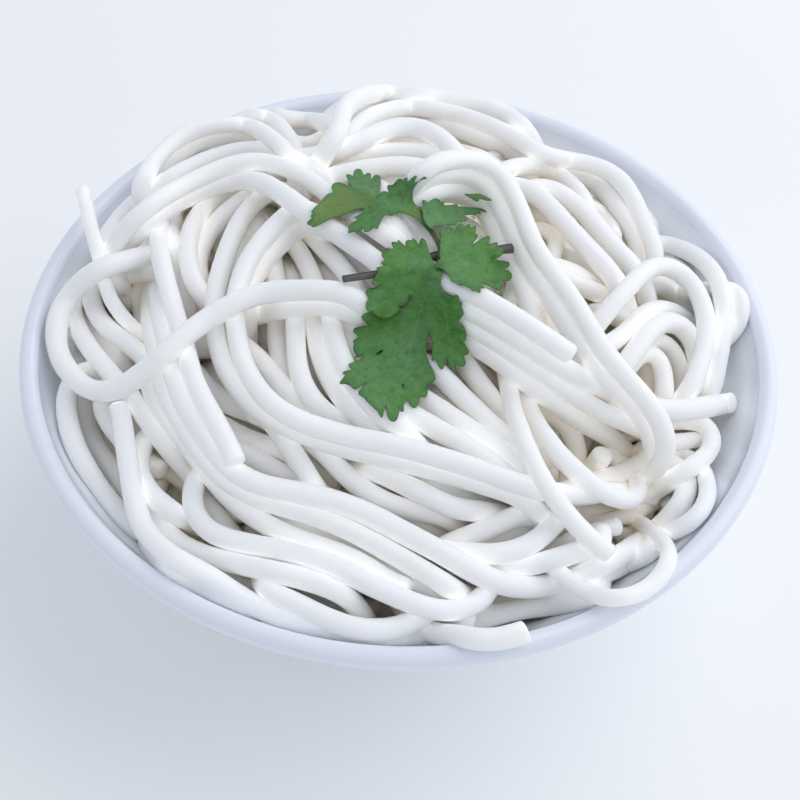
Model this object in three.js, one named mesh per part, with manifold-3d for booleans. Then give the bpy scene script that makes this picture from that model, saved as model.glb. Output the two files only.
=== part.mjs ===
// A round glazed bowl heaped with cooked thick round rice noodles, with a
// sprig of coriander laid on top. Millimetres, +Z up, origin on the table at
// the middle of the bowl's foot.
import * as THREE from "three";
import { mergeVertices } from "three/addons/utils/BufferGeometryUtils.js";
import Module from "manifold-3d";

const wasm = await Module();
wasm.setup();

// ---- Bowl ----------------------------------------------------------------
const RIM_RADIUS = 95; // outside of the lip
const LIP_BEAD = 5; // diameter of the rounded lip
const BOWL_HEIGHT = 66; // table to the top of the lip
const WALL = 4.2; // wall thickness below the lip
const INNER_RADIUS = RIM_RADIUS - LIP_BEAD; // inside of the wall at lip height
const LIP_Z = BOWL_HEIGHT - LIP_BEAD / 2; // centre height of the lip bead
const FLOOR_Z = 8.5; // inside bottom of the bowl
const WALL_POWER = 2.8; // the inside rises as radius to this power
const FOOT_RADIUS = 37; // outside of the foot ring
const FOOT_WIDTH = 4.5;
const FOOT_HEIGHT = 6;
const FOOT_RECESS = 4.2; // height of the underside inside the foot ring
const BOWL_SEGMENTS = 60;

// ---- Noodles -------------------------------------------------------------
const NOODLE = 4.7; // diameter of one noodle
const BED_GAP = 0.5; // between the noodles and the bowl
const HEAP_TOP = 86; // crown of the heap
const EDGE_MEAN = 59.6; // height at which the heap meets the wall, on average
const EDGE_TILT = 3.6; // the heap leans up the wall on one side
const EDGE_TILT_AT = THREE.MathUtils.degToRad(120);
const EDGE_SADDLE = 1.8;
const EDGE_SADDLE_AT = THREE.MathUtils.degToRad(115);
const CROWN_SHIFT = [-0.04, 0.16]; // where the crown stands, as shares of the radius
const HEAP_POWER = 2.2;
const HEAP_SEGMENTS = 72;
const HEAP_RINGS = 18;
const BED_RINGS = 6;

// ---- Coriander -----------------------------------------------------------
const LEAF_THICKNESS = 0.9;
const LEAF_LIFT = 0.8; // least height of a leaf over the noodles
const LEAF_STEP = 0.27; // each leaf lies a little over the one before
const STEM_DIAMETER = 2;

// ---- Shapes shared by the pieces -----------------------------------------
const innerZ = (r) =>
  FLOOR_Z + (LIP_Z - FLOOR_Z) * (r / INNER_RADIUS) ** WALL_POWER;
const innerRadius = (z) =>
  INNER_RADIUS * ((z - FLOOR_Z) / (LIP_Z - FLOOR_Z)) ** (1 / WALL_POWER);
const innerSlope = (r) =>
  ((LIP_Z - FLOOR_Z) * WALL_POWER * (r / INNER_RADIUS) ** (WALL_POWER - 1)) /
  INNER_RADIUS;

const edgeZ = (a) =>
  EDGE_MEAN +
  EDGE_TILT * Math.cos(a - EDGE_TILT_AT) +
  EDGE_SADDLE * Math.cos(2 * (a - EDGE_SADDLE_AT));
const edgeRadius = (a) =>
  innerRadius(Math.min(edgeZ(a), LIP_Z)) - BED_GAP - 0.1;

// Loose loops and hollows of the noodles on the heap's surface.
const tangle = (x, y) =>
  0.45 * NOODLE *
  (Math.sin(0.16 * x + 0.07 * y + 0.6) * Math.cos(0.13 * y - 0.05 * x) +
    0.55 * Math.sin(0.31 * y + 0.12 * x + 1.9) * Math.sin(0.27 * x - 0.1 * y));

function heapZ(x, y) {
  const a = Math.atan2(y, x);
  const r = edgeRadius(a);
  const ux = x / r;
  const uy = y / r;
  const q = 1 - ux * ux - uy * uy;
  const rho = Math.min(
    1,
    Math.hypot(ux - CROWN_SHIFT[0] * q, uy - CROWN_SHIFT[1] * q),
  );
  const z0 = edgeZ(a);
  const dome = (1 - rho ** HEAP_POWER) ** 0.9;
  return z0 + (HEAP_TOP - z0) * dome + tangle(x, y) * Math.min(1, 3 * (1 - rho));
}

// ---- Helpers -------------------------------------------------------------
const material = (color, roughness) =>
  new THREE.MeshStandardMaterial({ color, roughness, metalness: 0 });

function toSolid(geometry) {
  const g = geometry.clone();
  g.deleteAttribute("normal");
  g.deleteAttribute("uv");
  const m = mergeVertices(g, 1e-3);
  return new wasm.Manifold(
    new wasm.Mesh({
      numProp: 3,
      vertProperties: m.attributes.position.array,
      triVerts: new Uint32Array(m.index.array),
    }),
  );
}

function fromSolid(solid) {
  const m = solid.getMesh();
  const v = new Float32Array(m.numVert * 3);
  for (let i = 0; i < m.numVert; i++)
    v.set(m.vertProperties.subarray(i * m.numProp, i * m.numProp + 3), i * 3);
  const g = new THREE.BufferGeometry();
  g.setAttribute("position", new THREE.BufferAttribute(v, 3));
  g.setIndex(new THREE.BufferAttribute(m.triVerts, 1));
  g.computeVertexNormals();
  return g;
}

// A closed solid between an upper and a lower height over one polar grid.
function polarSolid(segments, upper, lower) {
  const pos = [];
  const idx = [];
  const rows = [...upper, ...[...lower].reverse()];
  // rows[0] is the top middle, the last row the bottom middle
  const push = (p) => pos.push(p[0], p[1], p[2]) / 3 - 1;
  const top = push(rows[0](0));
  const rings = rows.slice(1, -1).map((row) =>
    Array.from({ length: segments }, (_, j) =>
      push(row((2 * Math.PI * j) / segments)),
    ),
  );
  const bottom = push(rows[rows.length - 1](0));
  for (let j = 0; j < segments; j++) {
    const k = (j + 1) % segments;
    idx.push(top, rings[0][j], rings[0][k]);
    for (let i = 0; i + 1 < rings.length; i++) {
      idx.push(rings[i][j], rings[i + 1][j], rings[i + 1][k]);
      idx.push(rings[i][j], rings[i + 1][k], rings[i][k]);
    }
    const last = rings[rings.length - 1];
    idx.push(bottom, last[k], last[j]);
  }
  const g = new THREE.BufferGeometry();
  g.setAttribute("position", new THREE.Float32BufferAttribute(pos, 3));
  g.setIndex(idx);
  g.computeVertexNormals();
  return g;
}

// ---- The bowl: one turned piece ------------------------------------------
function bowlGeometry() {
  const p = [];
  const foot = FOOT_RADIUS - FOOT_WIDTH;
  p.push([0, FOOT_RECESS], [foot - 2, FOOT_RECESS], [foot, 0.8], [foot + 0.8, 0]);
  p.push([FOOT_RADIUS - 0.9, 0], [FOOT_RADIUS, 0.9], [FOOT_RADIUS + 0.4, FOOT_HEIGHT]);
  // outside of the wall: the inside moved out by the wall's thickness
  const steps = 6;
  for (let i = 0; i <= steps; i++) {
    const r = FOOT_RADIUS - 1.5 + ((INNER_RADIUS + 0.5 - FOOT_RADIUS) * i) / steps;
    const s = innerSlope(r);
    const n = Math.hypot(1, s);
    p.push([r + (WALL * s) / n, innerZ(r) - WALL / n]);
  }
  // the lip's bead
  const c = RIM_RADIUS - LIP_BEAD / 2;
  for (let i = 0; i <= 7; i++) {
    const a = THREE.MathUtils.degToRad(-28 + (208 * i) / 7);
    p.push([c + (LIP_BEAD / 2) * Math.cos(a), LIP_Z + (LIP_BEAD / 2) * Math.sin(a)]);
  }
  // inside of the wall down to the middle
  const inner = 8;
  for (let i = 1; i < inner; i++) {
    const r = INNER_RADIUS * (1 - i / inner);
    p.push([r, innerZ(r)]);
  }
  p.push([0, FLOOR_Z]);
  const g = new THREE.LatheGeometry(
    p.map(([r, z]) => new THREE.Vector2(r, z)),
    BOWL_SEGMENTS,
  );
  g.rotateX(Math.PI / 2);
  return g;
}

// ---- The heap of noodles: one solid out to its uneven surface -------------
function heapGeometry() {
  const upper = [() => [0, 0, heapZ(0, 0)]];
  for (let i = 1; i <= HEAP_RINGS; i++) {
    const t = Math.sin((Math.PI / 2) * (i / HEAP_RINGS));
    upper.push((a) => {
      const r = t * edgeRadius(a);
      const x = r * Math.cos(a);
      const y = r * Math.sin(a);
      return [x, y, i === HEAP_RINGS ? edgeZ(a) : heapZ(x, y)];
    });
  }
  const lower = [() => [0, 0, FLOOR_Z + BED_GAP]];
  for (let i = 1; i <= BED_RINGS; i++) {
    const t = i / (BED_RINGS + 0.35);
    lower.push((a) => {
      const r = t * edgeRadius(a);
      return [r * Math.cos(a), r * Math.sin(a), innerZ(r) + BED_GAP + 0.25 * t];
    });
  }
  return polarSolid(HEAP_SEGMENTS, upper, lower);
}

// ---- The coriander sprig ---------------------------------------------------
// A leaf is a fan of rounded, toothed lobes round the point where its stalk
// meets it. Each lobe is [direction in degrees, length, half width in degrees].
function leafOutline(lobes, teeth, web) {
  return (deg) => {
    let best = 0;
    for (const [at, length, half] of lobes) {
      let d = Math.abs(((deg - at + 540) % 360) - 180) / half;
      if (d < 1) best = Math.max(best, length * (1 - d ** 2.6) ** 0.55);
    }
    const tooth = 1 - 0.09 * Math.abs(Math.sin((deg * Math.PI * teeth) / 360));
    return Math.max(web, best) * tooth;
  };
}

function leafSolid({ at: [x0, y0], lobes, teeth, web }, lift) {
  const segments = 40;
  const rings = [0.38, 0.72, 1];
  const outline = leafOutline(lobes, teeth, web);
  const at = (share, a, extra) => {
    const r = share * outline(THREE.MathUtils.radToDeg(a));
    const x = x0 + r * Math.cos(a);
    const y = y0 + r * Math.sin(a);
    return [x, y, surfaceUnderLeaf(x, y) + lift + extra];
  };
  const upper = [() => at(0, 0, LEAF_THICKNESS)];
  const lower = [() => at(0, 0, 0)];
  for (const s of rings) {
    upper.push((a) => at(s, a, LEAF_THICKNESS * (s === 1 ? 0.75 : 1)));
    lower.push((a) => at(s, a, 0));
  }
  return toSolid(polarSolid(segments, upper, lower));
}

// The leaves lie on the tops of the noodles: the highest of the heap nearby.
function surfaceUnderLeaf(x, y) {
  let z = -Infinity;
  for (let i = 0; i < 8; i++) {
    const a = (2 * Math.PI * i) / 8;
    z = Math.max(z, heapZ(x + 3 * Math.cos(a), y + 3 * Math.sin(a)));
  }
  return Math.max(z, heapZ(x, y));
}

// A round stalk along points laid over the noodles.
function stalkSolid(points, diameter, lift) {
  const curve = new THREE.CatmullRomCurve3(
    points.map(
      ([x, y, up = 0]) =>
        new THREE.Vector3(x, y, surfaceUnderLeaf(x, y) + lift + diameter / 2 + up),
    ),
  );
  const shape = new THREE.Shape();
  for (let i = 0; i < 8; i++) {
    const a = (2 * Math.PI * i) / 8;
    const p = [(diameter / 2) * Math.cos(a), (diameter / 2) * Math.sin(a)];
    if (i) shape.lineTo(...p);
    else shape.moveTo(...p);
  }
  shape.closePath();
  return toSolid(
    new THREE.ExtrudeGeometry(shape, {
      steps: 14,
      bevelEnabled: false,
      extrudePath: curve,
    }),
  );
}

const LEAVES = [
  // stalk joint x, y, lobes [direction in degrees, length, half width in degrees], teeth, least radius
  { at: [8.2, 0.8], lobes: [[130, 12, 42], [195, 18, 42], [236, 37, 22], [258, 42.5, 20], [283, 28, 15], [298, 15, 18]], teeth: 46, web: 7 },
  { at: [9.2, 0.9], lobes: [[68, 15.5, 36], [30, 17, 36], [355, 17.5, 32], [328, 13, 26]], teeth: 40, web: 5 },
  { at: [4.8, 19], lobes: [[5, 16, 30], [50, 7, 40], [325, 9.5, 34], [290, 6.5, 32]], teeth: 30, web: 3 },
  { at: [-8.6, 20.1], lobes: [[200, 17.5, 30], [150, 13.5, 32], [105, 14.5, 32], [46, 17, 34], [356, 15, 16], [250, 11.5, 32]], teeth: 44, web: 6.5 },
];
const STALKS = [
  { points: [[-14.3, -5], [-3, -1], [8, 3], [18, 6.6], [27, 9.9]], diameter: STEM_DIAMETER },
  { points: [[8.4, 1.5], [7.8, 7], [6.7, 12.2], [4.9, 18.6]], diameter: 1.5 },
];

function sprigGeometry() {
  let sprig = null;
  for (const s of STALKS) {
    const solid = stalkSolid(s.points, s.diameter, LEAF_LIFT * 0.6);
    sprig = sprig ? sprig.add(solid) : solid;
  }
  LEAVES.forEach((l, i) => {
    const lift = LEAF_LIFT + LEAF_STEP * i;
    sprig = sprig.add(leafSolid(l, lift));
  });
  return fromSolid(sprig);
}

// ---- Scene graph -----------------------------------------------------------
const serving = new THREE.Group();

const bowl = new THREE.Mesh(bowlGeometry(), material(0xdfe3f0, 0.25));
bowl.name = "bowl";
serving.add(bowl);

const food = new THREE.Group();
const noodles = new THREE.Mesh(heapGeometry(), material(0xf1f2f0, 0.4));
noodles.name = "noodles";
food.add(noodles);

const sprig = new THREE.Mesh(sprigGeometry(), material(0x3f7a3a, 0.5));
sprig.name = "coriander_sprig";
food.add(sprig);
serving.add(food);

export default serving;
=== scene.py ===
"""A round glazed bowl heaped with cooked thick round rice noodles, and a sprig of
coriander on top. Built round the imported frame, in metres; the numbers below are
millimetres, and MM turns them into metres."""

import math

import bpy
import numpy as np
from mathutils import Matrix, Vector
from mathutils.geometry import delaunay_2d_cdt


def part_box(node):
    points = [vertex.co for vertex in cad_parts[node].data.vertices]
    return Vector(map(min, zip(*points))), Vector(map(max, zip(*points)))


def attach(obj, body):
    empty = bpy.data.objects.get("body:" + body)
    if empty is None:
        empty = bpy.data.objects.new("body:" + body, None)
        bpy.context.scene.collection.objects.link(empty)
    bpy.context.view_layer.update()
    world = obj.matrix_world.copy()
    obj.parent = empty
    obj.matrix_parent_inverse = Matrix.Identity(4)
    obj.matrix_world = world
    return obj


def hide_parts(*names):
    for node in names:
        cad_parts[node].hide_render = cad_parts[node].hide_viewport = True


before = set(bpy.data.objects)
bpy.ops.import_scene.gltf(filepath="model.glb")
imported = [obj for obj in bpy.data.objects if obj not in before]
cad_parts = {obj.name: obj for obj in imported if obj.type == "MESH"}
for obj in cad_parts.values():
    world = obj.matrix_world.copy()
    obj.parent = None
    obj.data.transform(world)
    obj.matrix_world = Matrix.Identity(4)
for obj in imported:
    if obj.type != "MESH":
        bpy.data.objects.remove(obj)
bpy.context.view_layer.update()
MM = 0.001

# ============================================================ sizes (mm)
bowl_lo, bowl_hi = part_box("bowl")
RIM_RADIUS = (bowl_hi.x - bowl_lo.x) / 2 / MM  # 95
BOWL_HEIGHT = bowl_hi.z / MM  # 66
LIP_BEAD = 5.0
WALL = 4.2
INNER_RADIUS = RIM_RADIUS - LIP_BEAD
LIP_Z = BOWL_HEIGHT - LIP_BEAD / 2
FLOOR_Z = 8.5
WALL_POWER = 2.8

NOODLE = 5.0  # mean diameter of a strand
HEAP_TOP = 86.0
EDGE_MEAN, EDGE_TILT, EDGE_SADDLE = 59.6, 3.6, 1.8
CROWN_SHIFT = (-0.04, 0.16)
HEAP_POWER = 2.2

# where the camera stands: the strands are laid so that each lies over the
# right neighbours as seen from here, and it is only used for that
CAM = np.array([0.6795, -217.7254, 312.5112])
CAM_RIGHT = np.array([0.99926292, 0.03020871, 0.02368666])
CAM_UP = np.array([-0.03838781, 0.78635499, 0.61658107])
CAM_BACK = np.array([0.0, -0.61703588, 0.78693502])
LENS = 58.5


def inner_z(r):
    return FLOOR_Z + (LIP_Z - FLOOR_Z) * (np.asarray(r, float) / INNER_RADIUS) ** WALL_POWER


def inner_radius(z):
    return INNER_RADIUS * (np.maximum(np.asarray(z, float) - FLOOR_Z, 0) / (LIP_Z - FLOOR_Z)) ** (1 / WALL_POWER)


def inner_slope(r):
    return (LIP_Z - FLOOR_Z) * WALL_POWER * (r / INNER_RADIUS) ** (WALL_POWER - 1) / INNER_RADIUS


def edge_z(a):
    return EDGE_MEAN + EDGE_TILT * np.cos(a - math.radians(120)) + EDGE_SADDLE * np.cos(2 * (a - math.radians(115)))


def edge_radius(a):
    return inner_radius(np.minimum(edge_z(a), LIP_Z)) - 0.6


def heap_z(x, y):
    """Height of the smooth heap; past its edge the edge's height goes on."""
    x, y = np.asarray(x, float), np.asarray(y, float)
    a = np.arctan2(y, x)
    r = edge_radius(a)
    ux, uy = x / r, y / r
    q = np.maximum(0, 1 - ux * ux - uy * uy)
    rho = np.minimum(np.hypot(ux - CROWN_SHIFT[0] * q, uy - CROWN_SHIFT[1] * q), 1)
    z0 = edge_z(a)
    return z0 + (HEAP_TOP - z0) * (1 - rho**HEAP_POWER) ** 0.9


# ============================================================ small tools
def new_mesh(name, verts, faces, smooth=True):
    """A mesh object from millimetres."""
    me = bpy.data.meshes.new(name)
    me.from_pydata((np.asarray(verts, float) * MM).tolist(), [], [list(map(int, f)) for f in faces])
    me.update()
    if smooth:
        me.polygons.foreach_set("use_smooth", [True] * len(me.polygons))
    ob = bpy.data.objects.new(name, me)
    bpy.context.scene.collection.objects.link(ob)
    return ob


def fast_mesh(name, verts, tris_or_quads, sizes, uv=None, attributes=None, smooth=True):
    """A large mesh from flat arrays: loop vertex indices and the corner count of each face."""
    me = bpy.data.meshes.new(name)
    verts = np.asarray(verts, np.float32) * MM
    loops = np.asarray(tris_or_quads, np.int32)
    sizes = np.asarray(sizes, np.int32)
    me.vertices.add(len(verts))
    me.vertices.foreach_set("co", verts.ravel())
    me.loops.add(len(loops))
    me.loops.foreach_set("vertex_index", loops)
    me.polygons.add(len(sizes))
    me.polygons.foreach_set("loop_start", np.concatenate([[0], np.cumsum(sizes)[:-1]]).astype(np.int32))
    me.polygons.foreach_set("loop_total", sizes)
    if uv is not None:
        layer = me.uv_layers.new(name="UVMap")
        layer.data.foreach_set("uv", np.asarray(uv, np.float32).ravel())
    for key, value in (attributes or {}).items():
        at = me.attributes.new(key, "FLOAT", "POINT")
        at.data.foreach_set("value", np.asarray(value, np.float32))
    me.update(calc_edges=True)
    me.validate()
    if smooth:
        me.polygons.foreach_set("use_smooth", np.ones(len(me.polygons), bool))
    ob = bpy.data.objects.new(name, me)
    bpy.context.scene.collection.objects.link(ob)
    return ob


def wave_noise(seed, scale):
    """A smooth random function of one number, about -1 to 1, with features of that length."""
    rng = np.random.default_rng(seed)
    k = np.array([0.45, 0.8, 1.3, 1.9]) * (0.8 + 0.4 * rng.random(4))
    ph = rng.random(4) * 6.283
    am = np.array([0.5, 0.4, 0.3, 0.2])
    return lambda s: (am[None] * np.sin(np.asarray(s)[:, None] * k[None] * (6.283 / scale) + ph[None])).sum(1)


def catmull(points, per=8):
    p = np.asarray(points, float)
    q = np.vstack([2 * p[0] - p[1], p, 2 * p[-1] - p[-2]])
    t = np.linspace(0, 1, per, endpoint=False)[:, None]
    out = []
    for i in range(1, len(q) - 2):
        a, b, c, d = q[i - 1], q[i], q[i + 1], q[i + 2]
        out.append(0.5 * (2 * b + (c - a) * t + (2 * a - 5 * b + 4 * c - d) * t**2 + (3 * b - a - 3 * c + d) * t**3))
    out.append(p[-1:])
    return np.vstack(out)


def resample(p, step, extra=None):
    """Points a step apart along a polyline, and the extra columns with them."""
    seg = np.linalg.norm(np.diff(p[:, :3], axis=0), axis=1)
    s = np.concatenate([[0], np.cumsum(seg)])
    n = max(4, int(round(s[-1] / step)) + 1)
    t = np.linspace(0, s[-1], n)
    return np.column_stack([np.interp(t, s, p[:, k]) for k in range(p.shape[1])])


def near_pairs_2d(q, radius):
    """Pairs of points of a plane nearer than a radius."""
    cell = np.floor(q / radius).astype(np.int64)
    cell -= cell.min(0) - 1
    w = cell[:, 0].max() + 3
    key = cell[:, 1] * w + cell[:, 0]
    order = np.argsort(key, kind="stable")
    ks = key[order]
    out_i, out_j = [], []
    for off in (0, 1, w - 1, w, w + 1):
        lo = np.searchsorted(ks, key + off, "left")
        hi = np.searchsorted(ks, key + off, "right")
        cnt = hi - lo
        i = np.repeat(np.arange(len(q)), cnt)
        start = np.repeat(lo, cnt)
        run = np.arange(len(i)) - np.repeat(np.cumsum(cnt) - cnt, cnt)
        j = order[start + run]
        if off == 0:
            keep = i < j
            i, j = i[keep], j[keep]
        near = ((q[i] - q[j]) ** 2).sum(1) < radius * radius
        out_i.append(i[near])
        out_j.append(j[near])
    return np.concatenate(out_i), np.concatenate(out_j)


def near_pairs_3d(p, radius):
    cell = np.floor(p / radius).astype(np.int64)
    cell -= cell.min(0) - 1
    w = cell[:, 0].max() + 3
    h = cell[:, 1].max() + 3
    key = (cell[:, 2] * h + cell[:, 1]) * w + cell[:, 0]
    order = np.argsort(key, kind="stable")
    ks = key[order]
    out_i, out_j = [], []
    for dz in (0, 1):
        for dy in (-1, 0, 1):
            for dx in (-1, 0, 1):
                off = (dz * h + dy) * w + dx
                if off < 0:
                    continue
                lo = np.searchsorted(ks, key + off, "left")
                hi = np.searchsorted(ks, key + off, "right")
                cnt = hi - lo
                i = np.repeat(np.arange(len(p)), cnt)
                start = np.repeat(lo, cnt)
                run = np.arange(len(i)) - np.repeat(np.cumsum(cnt) - cnt, cnt)
                j = order[start + run]
                if off == 0:
                    keep = i < j
                    i, j = i[keep], j[keep]
                near = ((p[i] - p[j]) ** 2).sum(1) < radius * radius
                out_i.append(i[near])
                out_j.append(j[near])
    return np.concatenate(out_i), np.concatenate(out_j)


# ============================================================ the bowl's profile
def bowl_profile():
    p = [(0, 4.2), (16, 4.2), (28, 4.2), (30.2, 4.15), (31.2, 3.8), (31.9, 2.9), (32.3, 1.5), (32.7, 0.5), (33.2, 0.08), (33.9, 0.0)]
    p += [(35.4, 0.0), (36.1, 0.08), (36.6, 0.4), (36.9, 1.1), (37.0, 2.4), (37.1, 4.4), (37.15, 6.0), (37.0, 7.4)]
    n = 40
    for i in range(2, n + 1):
        r = 35.5 + (89.0 - 35.5) * i / n
        s = inner_slope(r)
        k = math.hypot(1, s)
        p.append((r + WALL * s / k, float(inner_z(r)) - WALL / k))
    c = RIM_RADIUS - LIP_BEAD / 2
    m = 26
    for i in range(m + 1):
        a = math.radians(-26 + 206 * i / m)
        p.append((c + LIP_BEAD / 2 * math.cos(a), LIP_Z + LIP_BEAD / 2 * math.sin(a)))
    n = 44
    for i in range(1, n):
        r = INNER_RADIUS * (1 - i / n)
        p.append((r, float(inner_z(r))))
    p.append((0, FLOOR_Z))
    return p


_rr = np.linspace(20, INNER_RADIUS, 60)
_aa = np.radians(np.linspace(172, -20, 24))
WALL_LINE = np.vstack([
    np.column_stack([_rr, inner_z(_rr)]),
    np.column_stack([RIM_RADIUS - LIP_BEAD / 2 + LIP_BEAD / 2 * np.cos(_aa), LIP_Z + LIP_BEAD / 2 * np.sin(_aa)]),
])
_seg = np.diff(WALL_LINE, axis=0)
_nrm = np.column_stack([-_seg[:, 1], _seg[:, 0]])
_nrm /= np.linalg.norm(_nrm, axis=1)[:, None]
WALL_NORMAL = np.vstack([_nrm[:1], (_nrm[1:] + _nrm[:-1]) / 2, _nrm[-1:]])
WALL_NORMAL /= np.linalg.norm(WALL_NORMAL, axis=1)[:, None]


def wall_gap(p, outside=1e3):
    """How far points are from the bowl's inside and lip; less than 0 in the glaze."""
    rz = np.column_stack([np.hypot(p[:, 0], p[:, 1]), p[:, 2]])
    d2 = ((rz[:, None, :] - WALL_LINE[None]) ** 2).sum(2)
    k = d2.argmin(1)
    side = ((rz - WALL_LINE[k]) * WALL_NORMAL[k]).sum(1)
    gap = np.sqrt(d2[np.arange(len(k)), k]) * np.sign(side)
    gap[(rz[:, 0] > RIM_RADIUS - 1.0) & (rz[:, 1] < LIP_Z)] = outside
    return gap


def off_wall(p, clear):
    """Moves points that lie nearer to the bowl than clear straight off it."""
    r = np.hypot(p[:, 0], p[:, 1])
    near = np.nonzero((r > 40) | (p[:, 2] < 30))[0]
    if len(near) == 0:
        return p
    rz = np.column_stack([r[near], p[near, 2]])
    d2 = ((rz[:, None, :] - WALL_LINE[None]) ** 2).sum(2)
    k = d2.argmin(1)
    v = rz - WALL_LINE[k]
    signed = (v * WALL_NORMAL[k]).sum(1)
    dist = np.sqrt(d2[np.arange(len(k)), k]) * np.sign(signed)
    lack = np.maximum(0, clear - dist)
    # points past the outside of the lip are left alone
    lack[(rz[:, 0] > RIM_RADIUS - 1.0) & (rz[:, 1] < LIP_Z)] *= 0.0
    move = WALL_NORMAL[k] * lack[:, None]
    new_r = rz[:, 0] + move[:, 0]
    q = p.copy()
    q[near, 0] *= new_r / np.maximum(rz[:, 0], 1e-6)
    q[near, 1] *= new_r / np.maximum(rz[:, 0], 1e-6)
    q[near, 2] += move[:, 1]
    return q


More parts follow.
